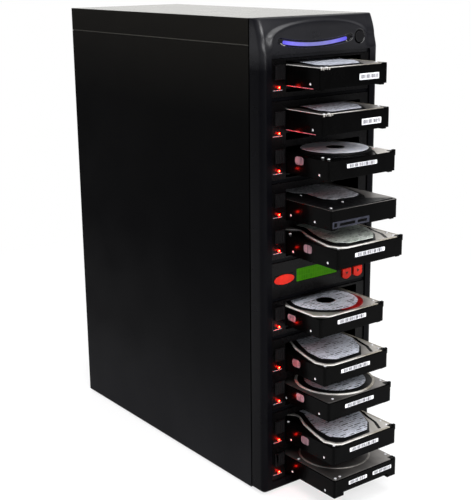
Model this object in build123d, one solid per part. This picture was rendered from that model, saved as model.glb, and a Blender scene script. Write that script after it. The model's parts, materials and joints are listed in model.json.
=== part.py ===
from build123d import *
import os
from math import cos, radians

# Hard drive duplicator: a tower with ten drive bays, a control panel and ten drives.
# All sizes are millimetres. The pieces are laid out in the case's own frame: x to the
# right seen from the front, y from the bezel's front face towards the rear, z up from
# the underside of the steel case. Saving moves them to the middle of the footprint.

# Steel case
case_width = 176.0
case_height = 568.0
case_depth = 426.0
steel = 1.0
seam = 0.4
cover_skirt = 30.0
frame_sheet = 1.2
frame_flange = 12.0
panel_rear_fold = 10.0
post_width = 11.3

# Rubber feet
foot_height = 3.0
foot_radius = 9.0
foot_inset_x = 20.0
foot_front_y = 50.0
foot_rear_inset = 26.0

# Front bezel
bezel_depth = 24.5
bezel_wall = 2.5
bezel_corner = 7.0
bezel_toe_round = 5.0
brow_end_drop = 22.0
brow_middle_drop = 5.5
brow_slope_back = 8.0
brow_slope_up = 13.0
brow_spread = 1.5
brow_wall = 4.0
crossbar_recess = 3.0
crossbar_depth = 5.0
crossbar_clearance = 0.4

# Light bar
light_middle_x = -9.75
light_half_span = 46.0
light_end_drop = 26.8
light_middle_drop = 30.8
light_height = 4.0
light_recess_height = 8.0
light_recess_extra = 6.0
light_recess_depth = 2.2
light_proud = 0.8

# Power button
button_x = 57.4
button_drop = 25.5
button_radius = 6.5
button_ring_radius = 8.2
button_ring_depth = 1.5
button_length = 12.0
button_flange_radius = 7.6
button_flange = 1.2
button_boss_wall = 2.0
button_travel = 2.0
cradle_half_width = 3.0
cradle_wall = 2.2
running_gap = 0.3

# Bays and modules
bay_opening_width = 149.4
bay_opening_bottom = 12.2
bay_opening_drop = 39.9
bay_rows = 11
module_gap = 4.5
face_recess = 1.5
face_thickness = 3.0
face_side_gap = 0.4
panel_row = 5

# Racks
rack_half_width = 72.7
rack_end_y = 152.0
rack_wall = 1.2
rail_gap = 0.3
slot_left_x = -53.0
slot_right_x = 61.0
slot_corner = 1.5
slot_below_single = 5.0
slot_drop_single = 6.9
slot_below_lower = 1.5
slot_drop_lower = 9.9
slot_below_upper = -2.2
slot_drop_upper = 12.2
ledge_thickness = 2.0
ledge_inner_x = 44.0
ledge_start_y = 5.0
ledge_end_y = 146.0
guide_height = 5.0
guide_wall = 2.0
seat_gap = 0.3

# Status lights
lamp_x = -64.0
lamp_radius = 1.5
lamp_hole_gap = 0.05
lamp_proud = 1.6
lamp_length = 4.4
lamp_rise_single = 11.2
lamp_rise_lower = 10.6
lamp_rise_upper = 6.6

# Eject pulls
pull_left_x = -69.8
pull_right_x = -55.9
pull_height = 16.0
pull_above_lamp = 8.5
pull_proud = 2.2
pull_rib_count = 4
pull_rib_width = 1.2
pull_rib_depth = 0.8
stem_left_x = -66.0
stem_right_x = -60.0
stem_half_height = 4.0
web_y = 16.0
web_thickness = 3.0
rod_left_x = -58.0
rod_right_x = -54.6
rod_height = 4.0
toe_end_x = -47.0
toe_height = 8.0
toe_thickness = 3.0
pull_travel = 10.0

# Backplane boards and sockets
board_thickness = 1.6
socket_half_width = 18.9
socket_half_height = 3.25
socket_length = 7.7
socket_slot_depth = 4.5
socket_slot_gap = 0.4
socket_centre_rise = 4.8

# Drives
drive_width = 101.6
drive_length = 147.0
drive_height = 26.1
drive_corner = 3.0
casting_bottom = 2.0
casting_top = 23.2
cover_plate = 1.2
cover_inset = 1.0
corner_tab_x = 9.0
corner_tab_y = 6.0
corner_tab_rise = 1.7
tab_clearance = 0.3
rail_outer_inset = 2.5
rail_width = 6.0
drive_board_inset_x = 12.0
drive_board_front = 32.0
drive_board_rear = 12.0
drive_board_thickness = 1.2
side_hole_rise = 6.35
side_hole_radius = 1.6
side_hole_depth = 4.0
side_hole_from_front = [16.9, 76.9, 118.5]
plug_x = 20.7
plug_notch_half_width = 20.0
plug_notch_depth = 10.0
plug_notch_height = 9.0
plug_half_width = 18.5
plug_base = 3.0
tongue_half_width = 16.7
tongue_thickness = 1.2
tongue_set_back = 0.5
disc_radius = 46.0
disc_from_front = 51.0
plateau_neck_half_width = 33.0
plateau_end = 131.0
flat_plateau_inset = 9.0
octagon_half_width = 46.5
octagon_cut = 20.0
cover_screw_radius = 2.2
cover_screw_head = 0.8
cover_screw_inset = 5.0
hub_radius = 12.5
hub_sink = 1.0
bottom_cut_half_width = 36.0
bottom_cut_height = 5.0

# How far each drive stands out of the bezel's face, and how high its casting lies in its
# slot, from 0 at the slot's lower edge to 1 at the upper, bay by bay from the top.
drive_reach = [53.8, 58.8, 70.3, 75.0, 86.0, 58.2, 66.7, 74.3, 83.8, 86.5]
drive_lift = [0.688, 0.93, 0.561, 0.211, 0.272, 0.495, 0.203, 0.395, 0.211, 0.395]
cover_styles = ["flat", "flat", "round", "flat", "octagon", "round", "octagon", "round", "octagon", "ring"]
bay_row = [10, 9, 8, 7, 6, 4, 3, 2, 1, 0]
bay_kind = ["single", "upper", "lower", "upper", "lower", "single", "upper", "lower", "upper", "lower"]
reversed_bay = 4
seated_front_y = 1.0

# Control panel
panel_depth = 34.0
panel_wall = 1.2
screen_left_x = -36.0
screen_right_x = 28.5
screen_bottom_rise = 14.2
screen_top_rise = 30.1
screen_fit = 0.2
screen_set_back = 0.5
screen_rim = 2.0
screen_depth = 6.0
badge_left_x = -70.0
badge_right_x = -41.0
badge_bottom_rise = 15.2
badge_top_rise = 27.0
badge_proud = 0.6
badge_corner = 2.0
key_column_x = [43.4, 61.9]
key_lower_rise = 9.95
key_upper_drop = 12.2
key_width = 14.2
key_height = 12.7
key_sole_drop = 3.2
key_proud = 1.8
key_flange = 1.0
key_flange_rim = 1.0
key_travel = 1.2
plunger_radius = 2.0
switch_size = 6.0
switch_depth = 3.5

# Controller board
chip_size = 26.0
chip_depth = 3.0
sink_size = 30.0
sink_depth = 12.0
sink_fins = 6
sink_base = 3.0
fin_thickness = 1.4
header_x = 33.0
header_width = 22.0
header_height = 8.0
header_depth = 9.0

# Power supply
supply_side_gap = 13.0
supply_height = 86.0
supply_depth = 140.0
supply_below_top = 6.0
supply_window_inset = 4.0
supply_fan_radius = 37.0
supply_fan_inset = 43.0
supply_fan_offset_z = 0.0
supply_fan_depth = 18.0
hub_share_radius = 14.0
guard_bar = 3.0
guard_ring_width = 2.4
guard_rings = 3
shaft_radius = 2.0
shaft_gap = 0.05
blade_thickness = 1.6
blade_pitch = 35.0
blade_tip_gap = 1.5
blade_end_gap = 1.8
blade_count = 7
inlet_inset = 27.0
inlet_offset_z = 20.0
inlet_half_width = 13.5
inlet_half_height = 9.5
inlet_depth = 17.0
inlet_wall = 1.6
inlet_pin = 2.0
inlet_pin_height = 4.0
inlet_pin_length = 11.0
inlet_pin_pitch = 7.0
rocker_offset_z = -18.0
rocker_half_width = 6.0
rocker_half_height = 7.6
rocker_pivot_inset = 5.0
rocker_face = 4.6
rocker_dip = 2.6
rocker_back = 3.0
rocker_pin_radius = 1.2
rocker_pin_length = 1.0
rocker_frame_half_height = 8.9
rocker_frame_depth = 11.0
rocker_frame_wall = 1.6
rocker_tilt = 9.0

# Exhaust fan
exhaust_size = 120.0
exhaust_depth = 25.0
exhaust_radius = 57.0
exhaust_hub_radius = 20.0
fan_rear_gap = 2.0
exhaust_z = 250.0
exhaust_corner = 4.0
exhaust_screw_pitch = 105.0
exhaust_slot_height = 4.0
exhaust_slot_pitch = 8.0

# Screws
screw_radius = 1.7
screw_hole_gap = 0.1
screw_head_radius = 3.6
screw_head_height = 1.8
screw_length = 5.0
supply_screw_inset = 6.0
edge_screw_inset = 40.0

# Places worked out from the sizes above
half_case = case_width / 2
inner_half = half_case - steel - seam
front_reach = max(drive_reach)
foot_rear_y = case_depth - foot_rear_inset
middle_y = (case_depth + screw_head_height - front_reach) / 2
face_back = face_recess + face_thickness
opening_half = bay_opening_width / 2
opening_top = case_height - bay_opening_drop
bay_pitch = (opening_top - bay_opening_bottom) / bay_rows
brow_end_z = case_height - brow_end_drop
brow_middle_z = case_height - brow_middle_drop
light_end_z = case_height - light_end_drop
light_middle_z = case_height - light_middle_drop
button_z = case_height - button_drop
skirt_bottom = case_height - cover_skirt
rail_inner = rack_half_width + rail_gap
toe_front = seated_front_y + drive_length + running_gap
guide_end_y = toe_front - pull_travel - guide_wall
supply_width = case_width - 2 * supply_side_gap
supply_top = case_height - supply_below_top
supply_bottom = supply_top - supply_height
supply_rear = case_depth - steel
supply_front = supply_rear - supply_depth
supply_fan_x = supply_width / 2 - supply_fan_inset
supply_fan_z = (supply_top + supply_bottom) / 2 + supply_fan_offset_z
inlet_x = inlet_inset - supply_width / 2
inlet_z = (supply_top + supply_bottom) / 2 + inlet_offset_z
rocker_z = (supply_top + supply_bottom) / 2 + rocker_offset_z
slot_low = {"single": slot_below_single, "lower": slot_below_lower, "upper": slot_below_upper}
slot_high = {"single": bay_pitch - slot_drop_single, "lower": bay_pitch - slot_drop_lower,
             "upper": bay_pitch - slot_drop_upper}
key_row_rise = [key_lower_rise, bay_pitch - module_gap - key_upper_drop]
edge_screw_rise = [edge_screw_inset, case_height / 2, case_height - edge_screw_inset]
lamp_rise = {"single": lamp_rise_single, "lower": lamp_rise_lower, "upper": lamp_rise_upper}


def block(x0, x1, y0, y1, z0, z1):
    """A box between two corners."""
    return Pos((x0 + x1) / 2, (y0 + y1) / 2, (z0 + z1) / 2) * Box(x1 - x0, y1 - y0, z1 - z0)


def bar(radius, x, z, y0, y1):
    """A round bar along y."""
    return Pos(x, (y0 + y1) / 2, z) * Rot(90, 0, 0) * Cylinder(radius, y1 - y0)


def through(outline, y0, y1):
    """Pushes an outline drawn in x and z from y0 to y1."""
    return extrude(Plane.XZ.offset(-y0) * outline, amount=y0 - y1)


def upright(outline, z0, z1):
    """Raises an outline drawn in x and y from z0 to z1."""
    return extrude(Plane.XY.offset(z0) * outline, amount=z1 - z0)


def save(name, *pieces):
    """Writes the pieces as one named node, moved to the middle of the footprint."""
    to_row = Pos(0, -middle_y, foot_height)
    solids = [solid for piece in pieces for solid in piece.solids()]
    moved = [to_row * solid for solid in solids]
    shape = moved[0] if len(moved) == 1 else Compound(children=moved)
    export_step(shape, f"parts/{name}.step")


def bay_floor(bay):
    """Height of a bay's floor; bays count from 1 at the top."""
    return bay_opening_bottom + bay_pitch * bay_row[bay - 1]


def drive_bottom(bay):
    """Height of the underside of the drive in a bay."""
    kind = bay_kind[bay - 1]
    spare = slot_high[kind] - slot_low[kind] - (drive_height - casting_bottom)
    return bay_floor(bay) + slot_low[kind] + drive_lift[bay - 1] * spare - casting_bottom


def lamp_z(bay):
    """Height of a bay's status light."""
    return bay_floor(bay) + lamp_rise[bay_kind[bay - 1]]


def pull_z(bay):
    """Lower edge of a bay's eject pull."""
    return lamp_z(bay) + pull_above_lamp


def screw_places():
    """Centres in x and z of the screws on the rear, with the supply's and the fan's."""
    edge_x = half_case - steel - panel_rear_fold / 2
    edges = [(side * edge_x, rise) for side in (-1, 1) for rise in edge_screw_rise]
    reach_x = supply_width / 2 - supply_screw_inset
    corners_z = (supply_bottom + supply_screw_inset, supply_top - supply_screw_inset)
    supply = [(side * reach_x, z) for side in (-1, 1) for z in corners_z]
    half = exhaust_screw_pitch / 2
    fan = [(side * half, exhaust_z + lift * half) for side in (-1, 1) for lift in (-1, 1)]
    return edges, supply, fan


def drill(shape, places, y0, y1):
    """Cuts screw holes along y."""
    for x, z in places:
        shape -= bar(screw_radius + screw_hole_gap, x, z, y0, y1)
    return shape


def brow_cutter(drop):
    """Everything above the brow, whose face leans back as it rises."""
    sag = brow_middle_z - brow_end_z
    spread = half_case * brow_spread
    low = brow_middle_z - sag * brow_spread ** 2
    arch = ThreePointArc((-spread, low), (0, brow_middle_z), (spread, low))
    top = 2 * case_height
    lid = Polyline(arch @ 1, (spread, top), (-spread, top), arch @ 0)
    region = make_face(Curve() + [arch, lid])
    start = Plane.XZ.offset(brow_slope_back) * (Pos(0, -brow_slope_up - drop) * region)
    return extrude(start, amount=2 * bezel_depth, dir=(0, brow_slope_back, brow_slope_up))


def light_arc(extra):
    """The smile line of the light bar, lengthened at both ends."""
    half = light_half_span + extra
    sag = (light_end_z - light_middle_z) * (half / light_half_span) ** 2
    return ThreePointArc((light_middle_x - half, light_middle_z + sag), (light_middle_x, light_middle_z),
                         (light_middle_x + half, light_middle_z + sag))


def module_spans():
    """The bottom and the row count of every module, from the lowest up."""
    spans = []
    row = 0
    for rows in (2, 2, 1, 1, 2, 2, 1):
        spans.append((bay_opening_bottom + row * bay_pitch, rows))
        row += rows
    return spans


def front_bezel():
    """Hollow moulded frame round the bays, with the brow above them."""
    shell = block(-half_case, half_case, 0, bezel_depth, 0, case_height)
    uprights = shell.edges().filter_by(Axis.Z).group_by(Axis.Y)[0]
    shell = fillet(uprights, bezel_corner)
    toe = shell.faces().sort_by(Axis.Z)[0].edges().sort_by(Axis.Y)[0]
    shell = chamfer(toe, bezel_toe_round / 2)
    shell -= brow_cutter(0)
    inner = half_case - bezel_wall
    cavity = block(-inner, inner, bezel_wall, bezel_depth, bezel_wall, case_height - bezel_wall)
    cavity -= brow_cutter(brow_wall)
    core = opening_half + bezel_wall
    cavity -= block(-core, core, 0, bezel_depth, bay_opening_bottom - bezel_wall, opening_top + bezel_wall)
    ring_back = light_recess_depth + bezel_wall
    cavity -= through(SlotArc(light_arc(light_recess_extra), light_recess_height + bezel_wall), 0, ring_back)
    cavity -= bar(button_radius + running_gap + button_boss_wall, button_x, button_z, 0, button_length)
    shell -= cavity
    shell -= block(-opening_half, opening_half, 0, bezel_depth, bay_opening_bottom, opening_top)
    shell -= through(SlotArc(light_arc(light_recess_extra), light_recess_height), 0, light_recess_depth)
    shell -= bar(button_ring_radius, button_x, button_z, 0, button_ring_depth)
    shell -= bar(button_radius + running_gap, button_x, button_z, 0, bezel_depth)
    shell += button_cradle()
    for floor, rows in module_spans():
        low = floor + rows * bay_pitch - module_gap + crossbar_clearance
        high = floor + rows * bay_pitch - crossbar_clearance
        back = crossbar_recess + crossbar_depth
        shell += block(-opening_half, opening_half, crossbar_recess, back, low, high)
    return shell


def button_cradle():
    """Two arms on the button's boss that hold its switch behind it."""
    boss = button_radius + running_gap + button_boss_wall
    stop = button_length + running_gap + button_flange + button_travel + running_gap
    reach = boss + cradle_wall
    cradle = block(button_x - cradle_half_width, button_x + cradle_half_width, stop, stop + cradle_wall,
                   button_z - reach, button_z + reach)
    for side in (-1, 1):
        arm_z = button_z + side * (boss + cradle_wall / 2)
        cradle += Pos(button_x, (button_length + stop) / 2, arm_z) * Box(
            2 * cradle_half_width, stop - button_length + cradle_wall, cradle_wall)
        foot_z = button_z + side * (boss - button_boss_wall / 2 + cradle_wall / 2)
        foot_height_z = button_boss_wall + cradle_wall
        cradle += Pos(button_x, button_length - cradle_wall / 2, foot_z) * Box(
            2 * cradle_half_width, cradle_wall, foot_height_z)
    return cradle


def light_bar():
    """The curved lit strip, on the floor of its recess."""
    return through(SlotArc(light_arc(0), light_height), light_recess_depth - light_proud, light_recess_depth)


def power_button():
    """Round button with a flange that keeps it in its bore."""
    face = bar(button_radius, button_x, button_z, 0, button_length + running_gap)
    back = button_length + running_gap
    return face + bar(button_flange_radius, button_x, button_z, back, back + button_flange)


def rack(bays):
    """A rack's face, hollow housing, ledges and side guides, for bays given from the lowest up."""
    floor = bay_floor(bays[0])
    top = floor + len(bays) * bay_pitch - module_gap
    half_face = opening_half - face_side_gap
    body = block(-half_face, half_face, face_recess, face_back, floor, top)
    body += block(-rack_half_width, rack_half_width, face_back, rack_end_y, floor, top)
    inside = rack_half_width - rack_wall
    body -= block(-inside, inside, face_back, rack_end_y, floor + rack_wall, top - rack_wall)
    for bay in bays:
        kind = bay_kind[bay - 1]
        low = bay_floor(bay) + slot_low[kind]
        high = bay_floor(bay) + slot_high[kind]
        width = slot_right_x - slot_left_x
        mouth = RectangleRounded(width, high - low, slot_corner)
        body -= through(Pos((slot_left_x + slot_right_x) / 2, (low + high) / 2) * mouth, 0, face_back)
        seat = drive_bottom(bay) - seat_gap
        ledge_low = max(seat - ledge_thickness, floor)
        guide_x = drive_width / 2 + seat_gap
        body += block(-inside, -ledge_inner_x, ledge_start_y, ledge_end_y, ledge_low, seat)
        body += block(ledge_inner_x, inside, ledge_start_y, ledge_end_y, ledge_low, seat)
        for side in (-1, 1):
            near = side * guide_x
            far = side * (guide_x + guide_wall)
            body += block(min(near, far), max(near, far), ledge_start_y, guide_end_y,
                          seat, seat + guide_height)
        body -= bar(lamp_radius + lamp_hole_gap, lamp_x, lamp_z(bay), 0, face_back)
        stem_z = pull_z(bay) + pull_height / 2
        reach = stem_half_height + running_gap
        body -= block(stem_left_x - running_gap, stem_right_x + running_gap, 0, face_back,
                      stem_z - reach, stem_z + reach)
    return body


def backplane(bays):
    """A rack's upright board with a socket for each drive."""
    floor = bay_floor(bays[0])
    top = floor + len(bays) * bay_pitch - module_gap
    board = block(-rack_half_width, rack_half_width, rack_end_y, rack_end_y + board_thickness, floor, top)
    for bay in bays:
        z = drive_bottom(bay) + socket_centre_rise
        front = rack_end_y - socket_length
        half = tongue_half_width + socket_slot_gap
        lip = tongue_thickness / 2 + socket_slot_gap
        board += block(plug_x - socket_half_width, plug_x + socket_half_width, front, rack_end_y,
                       z - socket_half_height, z + socket_half_height)
        board -= block(plug_x - half, plug_x + half, front, front + socket_slot_depth, z - lip, z + lip)
    return board


def eject_pull(bay):
    """Ribbed pull, the stem through the face, the rod along the drive and the toe behind it."""
    low = pull_z(bay)
    front = face_recess - running_gap - pull_proud
    pull = block(pull_left_x, pull_right_x, front, face_recess - running_gap, low, low + pull_height)
    pitch = (pull_right_x - pull_left_x) / (pull_rib_count + 1)
    for index in range(pull_rib_count):
        x = pull_left_x + (index + 1) * pitch
        pull -= block(x - pull_rib_width / 2, x + pull_rib_width / 2, front, front + pull_rib_depth,
                      low + pull_rib_width, low + pull_height - pull_rib_width)
    stem_z = low + pull_height / 2
    rod_low = drive_bottom(bay) - seat_gap + running_gap
    web_back = web_y + web_thickness
    pull += block(stem_left_x, stem_right_x, face_recess - running_gap, web_back,
                  stem_z - stem_half_height, stem_z + stem_half_height)
    pull += block(stem_left_x, rod_right_x, web_y, web_back, rod_low, stem_z + stem_half_height)
    pull += block(rod_left_x, rod_right_x, web_y, toe_front + toe_thickness, rod_low, rod_low + rod_height)
    pull += block(rod_left_x, toe_end_x, toe_front, toe_front + toe_thickness, rod_low, rod_low + toe_height)
    return pull


def status_light(bay):
    """A round lamp pressed through the rack's face."""
    front = face_recess - lamp_proud
    return bar(lamp_radius, lamp_x, lamp_z(bay), front, front + lamp_length)


def drive_outline(inset):
    """A drive's outline seen from above, its front end at y = 0."""
    outline = RectangleRounded(drive_width - 2 * inset, drive_length - 2 * inset, drive_corner)
    return Pos(0, drive_length / 2) * outline


def drive_casting(style):
    """Casting with side rails, a corner tab, side holes and the notch for the plug."""
    body = upright(drive_outline(0), casting_bottom, casting_top)
    half = drive_width / 2
    for side in (-1, 1):
        outer = side * (half - rail_outer_inset)
        inner = side * (half - rail_outer_inset - rail_width)
        body += block(min(outer, inner), max(outer, inner), drive_corner, drive_length - drive_corner,
                      0, casting_bottom)
    body += block(half - corner_tab_x, half - cover_inset, cover_inset, cover_inset + corner_tab_y,
                  casting_top, casting_top + corner_tab_rise)
    for from_front in side_hole_from_front:
        for side in (-1, 1):
            hole = Rot(0, 90, 0) * Cylinder(side_hole_radius, 2 * side_hole_depth)
            body -= Pos(side * half, from_front, side_hole_rise) * hole
    body -= block(plug_x - plug_notch_half_width, plug_x + plug_notch_half_width,
                  drive_length - plug_notch_depth, drive_length, 0, plug_notch_height)
    if style == "ring":
        body -= block(-bottom_cut_half_width, bottom_cut_half_width, 0, drive_corner * 2,
                      casting_bottom, casting_bottom + bottom_cut_height)
    return body


def drive_board():
    """Circuit board on the casting's underside."""
    half = drive_width / 2 - drive_board_inset_x
    return block(-half, half, drive_board_front, drive_length - drive_board_rear,
                 casting_bottom - drive_board_thickness, casting_bottom)


def drive_plug():
    """The drive's connector: a base at the back of the notch and its flat tongue."""
    back = drive_length - plug_notch_depth
    z = socket_centre_rise
    base = block(plug_x - plug_half_width, plug_x + plug_half_width, back, back + plug_base,
                 z - socket_half_height, z + socket_half_height)
    tip = drive_length - tongue_set_back
    return base + block(plug_x - tongue_half_width, plug_x + tongue_half_width, back, tip,
                        z - tongue_thickness / 2, z + tongue_thickness / 2)


def octagon_outline():
    """Eight-sided plateau over the discs, narrower towards the connector end."""
    front = disc_from_front - octagon_half_width
    rear = disc_from_front + octagon_half_width
    cut = octagon_cut
    wide = octagon_half_width
    neck = plateau_neck_half_width
    corners = [(-wide + cut, front), (wide - cut, front), (wide, front + cut), (wide, rear - cut),
               (neck, rear), (neck, plateau_end), (-neck, plateau_end), (-neck, rear), (-wide, rear - cut),
               (-wide, front + cut)]
    return make_face(Polyline(*corners, close=True))


def round_outline():
    """Round plateau over the discs with a narrower part behind it."""
    neck = Pos(0, (disc_from_front + plateau_end) / 2)
    return Pos(0, disc_from_front) * Circle(disc_radius) + neck * Rectangle(
        2 * plateau_neck_half_width, plateau_end - disc_from_front)


def flat_outline():
    """Plain rectangular plateau."""
    width = drive_width - 2 * flat_plateau_inset
    length = plateau_end - flat_plateau_inset
    return Pos(0, flat_plateau_inset + length / 2) * RectangleRounded(width, length, drive_corner)


def drive_cover(style):
    """Cover plate with its raised plateau and five screw heads."""
    top = casting_top + cover_plate
    cover = upright(drive_outline(cover_inset), casting_top, top)
    half = drive_width / 2
    cover -= block(half - corner_tab_x - tab_clearance, half, 0, cover_inset + corner_tab_y + tab_clearance,
                   casting_top, top)
    outlines = {"flat": flat_outline, "round": round_outline, "octagon": octagon_outline,
                "ring": flat_outline}
    cover += upright(outlines[style](), top, drive_height)
    if style == "ring":
        recess = Cylinder(disc_radius - flat_plateau_inset, cover_plate)
        cover -= Pos(0, disc_from_front, drive_height) * recess
    if style in ("round", "octagon"):
        cover -= Pos(0, disc_from_front, drive_height) * Cylinder(hub_radius, hub_sink)
    x = half - cover_inset - cover_screw_inset
    places = [(-x, cover_screw_inset), (-x, drive_length - cover_screw_inset),
              (x, drive_length - cover_screw_inset), (x, drive_length / 2 + disc_from_front / 2),
              (-x, drive_length / 2 + disc_from_front / 2)]
    for screw_x, screw_y in places:
        head = Cylinder(cover_screw_radius, cover_screw_head)
        cover += Pos(screw_x, screw_y, top + cover_screw_head / 2) * head
    return cover


def place_drive(piece, bay):
    """Moves a drive's piece from its own frame into its bay, turned round in the reversed one."""
    where = Pos(0, -drive_reach[bay - 1], drive_bottom(bay))
    if bay == reversed_bay:
        return where * Pos(0, drive_length, 0) * Rot(0, 0, 180) * piece
    return where * piece


def key_outline(column, row, grow):
    """Outline of a key: square shoulders and a round lower edge."""
    x = key_column_x[column]
    z = bay_opening_bottom + panel_row * bay_pitch + key_row_rise[row]
    width = key_width + 2 * grow
    half_height = key_height / 2 + grow
    shoulder = key_sole_drop - half_height
    sides = Polyline((-width / 2, shoulder), (-width / 2, half_height), (width / 2, half_height),
                     (width / 2, shoulder))
    sole = ThreePointArc((width / 2, shoulder), (0, -half_height), (-width / 2, shoulder))
    return Pos(x, z) * make_face(Curve() + [sides, sole])


def key(column, row):
    """A key cap with its retaining flange and plunger."""
    z = bay_opening_bottom + panel_row * bay_pitch + key_row_rise[row]
    flange_front = face_back + running_gap
    cap = through(key_outline(column, row, 0), face_recess - key_proud, flange_front)
    cap += through(key_outline(column, row, key_flange_rim), flange_front, flange_front + key_flange)
    stop = panel_depth - switch_depth - key_travel - running_gap
    return cap + bar(plunger_radius, key_column_x[column], z, flange_front, stop)


def control_panel():
    """Face with screen window, key holes and a blank badge, on a hollow housing."""
    floor = bay_opening_bottom + panel_row * bay_pitch
    top = floor + bay_pitch - module_gap
    half_face = opening_half - face_side_gap
    body = block(-half_face, half_face, face_recess, face_back, floor, top)
    body += block(-rack_half_width, rack_half_width, face_back, panel_depth, floor, top)
    inside = rack_half_width - panel_wall
    body -= block(-inside, inside, face_back, panel_depth, floor + panel_wall, top - panel_wall)
    body -= block(screen_left_x, screen_right_x, face_recess, face_back,
                  floor + screen_bottom_rise, floor + screen_top_rise)
    for column in (0, 1):
        for row in (0, 1):
            body -= through(key_outline(column, row, running_gap), face_recess, face_back)
    badge = RectangleRounded(badge_right_x - badge_left_x, badge_top_rise - badge_bottom_rise, badge_corner)
    centre = Pos((badge_left_x + badge_right_x) / 2, floor + (badge_top_rise + badge_bottom_rise) / 2)
    return body + through(centre * badge, face_recess - badge_proud, face_recess)


def lcd_screen():
    """Screen glass in the window, with the wider module behind the face."""
    floor = bay_opening_bottom + panel_row * bay_pitch
    low = floor + screen_bottom_rise
    high = floor + screen_top_rise
    glass = block(screen_left_x + screen_fit, screen_right_x - screen_fit, face_recess + screen_set_back,
                  face_back, low + screen_fit, high - screen_fit)
    return glass + block(screen_left_x - screen_rim, screen_right_x + screen_rim, face_back,
                         face_back + screen_depth, low - screen_rim, high + screen_rim)


def controller_board():
    """Upright board behind the panel, with switches for the keys, a cooled chip and sockets."""
    floor = bay_opening_bottom + panel_row * bay_pitch
    top = floor + bay_pitch - module_gap
    middle = (floor + top) / 2
    back = panel_depth + board_thickness
    board = block(-rack_half_width, rack_half_width, panel_depth, back, floor, top)
    for x in key_column_x:
        for rise in key_row_rise:
            half = switch_size / 2
            board += block(x - half, x + half, panel_depth - switch_depth, panel_depth,
                           floor + rise - half, floor + rise + half)
    board += block(-chip_size / 2, chip_size / 2, back, back + chip_depth, middle - chip_size / 2,
                   middle + chip_size / 2)
    sink = back + chip_depth
    board += block(-sink_size / 2, sink_size / 2, sink, sink + sink_base, middle - sink_size / 2,
                   middle + sink_size / 2)
    pitch = (sink_size - fin_thickness) / (sink_fins - 1)
    for index in range(sink_fins):
        x = -sink_size / 2 + index * pitch
        board += block(x, x + fin_thickness, sink + sink_base, sink + sink_depth, middle - sink_size / 2,
                       middle + sink_size / 2)
    for side in (-1, 1):
        x = side * header_x
        board += block(x - header_width / 2, x + header_width / 2, back, back + header_depth,
                       middle - header_height / 2, middle + header_height / 2)
    return board


def chassis_frame():
    """Base pan, bay rails, front flanges, rear posts, top rails and the power supply's shelf."""
    front = bezel_depth + seam
    rear = case_depth - steel
    top = case_height - steel
    frame = block(-inner_half, inner_half, front, rear, 0, frame_sheet)
    for side in (-1, 1):
        def strip(x0, x1, y0, y1, z0, z1):
            return block(min(side * x0, side * x1), max(side * x0, side * x1), y0, y1, z0, z1)
        frame += strip(rail_inner, rail_inner + frame_sheet, front, rack_end_y + bezel_depth, 0, top)
        frame += strip(rail_inner, inner_half, front, front + frame_sheet, 0, top)
        frame += strip(inner_half - frame_sheet, inner_half, front, rear, 0, frame_flange)
        frame += strip(inner_half - frame_flange, inner_half, front, rear, top - frame_sheet, top)
        frame += strip(inner_half - post_width, inner_half, rear - frame_sheet, rear, 0, top)
        frame += strip(inner_half - frame_sheet, inner_half, rear - post_width, rear, 0, top)
    frame += block(-inner_half, inner_half, supply_front, rear, supply_bottom - frame_sheet, supply_bottom)
    frame += block(-inner_half, inner_half, front, front + frame_flange, top - frame_sheet, top)
    edges, supply, fan = screw_places()
    return drill(frame, edges, rear - 2 * frame_sheet, rear)


def side_panel(side):
    """Flat side sheet with a folded edge at the rear, which takes the screws."""
    front = bezel_depth + seam
    top = skirt_bottom - seam
    outer = half_case
    skin = block(outer - steel, outer, front, case_depth, 0, top)
    skin += block(outer - steel - panel_rear_fold, outer, case_depth - steel, case_depth, 0, top)
    edges, supply, fan = screw_places()
    skin = drill(skin, edges, case_depth - steel, case_depth)
    return skin if side > 0 else mirror(skin, Plane.YZ)


def top_cover():
    """Top sheet with a skirt down each side."""
    front = bezel_depth + seam
    cover = block(-half_case, half_case, front, case_depth, case_height - steel, case_height)
    for side in (-1, 1):
        x0 = side * half_case
        x1 = side * (half_case - steel)
        cover += block(min(x0, x1), max(x0, x1), front, case_depth, skirt_bottom, case_height)
    return cover


def rear_panel():
    """Rear sheet with the power supply's window and the exhaust slots."""
    half = half_case - steel - panel_rear_fold - seam
    front = case_depth - steel
    sheet = block(-half, half, front, case_depth, 0, case_height - steel - seam)
    window = supply_window_inset
    window_half = supply_width / 2 - window - supply_screw_inset
    sheet -= block(-window_half, window_half, front, case_depth, supply_bottom + window, supply_top - window)
    count = int((exhaust_radius - exhaust_slot_height) / exhaust_slot_pitch)
    for index in range(-count, count + 1):
        rise = index * exhaust_slot_pitch
        reach = (exhaust_radius ** 2 - rise ** 2) ** 0.5 - exhaust_slot_height
        slot = SlotOverall(2 * reach, exhaust_slot_height)
        sheet -= through(Pos(0, exhaust_z + rise) * slot, front, case_depth)
    edges, supply, fan = screw_places()
    return drill(sheet, supply + fan, front, case_depth)


def fan_rotor(x, z, y0, y1, tip, hub, shaft_start):
    """Hub with a shaft and pitched blades, turning about a line along y."""
    rotor = bar(hub, x, z, y0, y1)
    rotor += bar(shaft_radius, x, z, min(shaft_start, y0), max(shaft_start, y1))
    chord = (y1 - y0 - 2 * blade_end_gap) / cos(radians(blade_pitch))
    length = tip - hub / 2
    for index in range(blade_count):
        turn = 360.0 * index / blade_count
        blade = Pos(0, 0, hub / 2 + length / 2) * Rot(0, 0, blade_pitch) * Box(blade_thickness, chord, length)
        rotor += Pos(x, (y0 + y1) / 2, z) * Rot(0, turn, 0) * blade
    return rotor & bar(tip, x, z, min(shaft_start, y0), max(shaft_start, y1))


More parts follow.
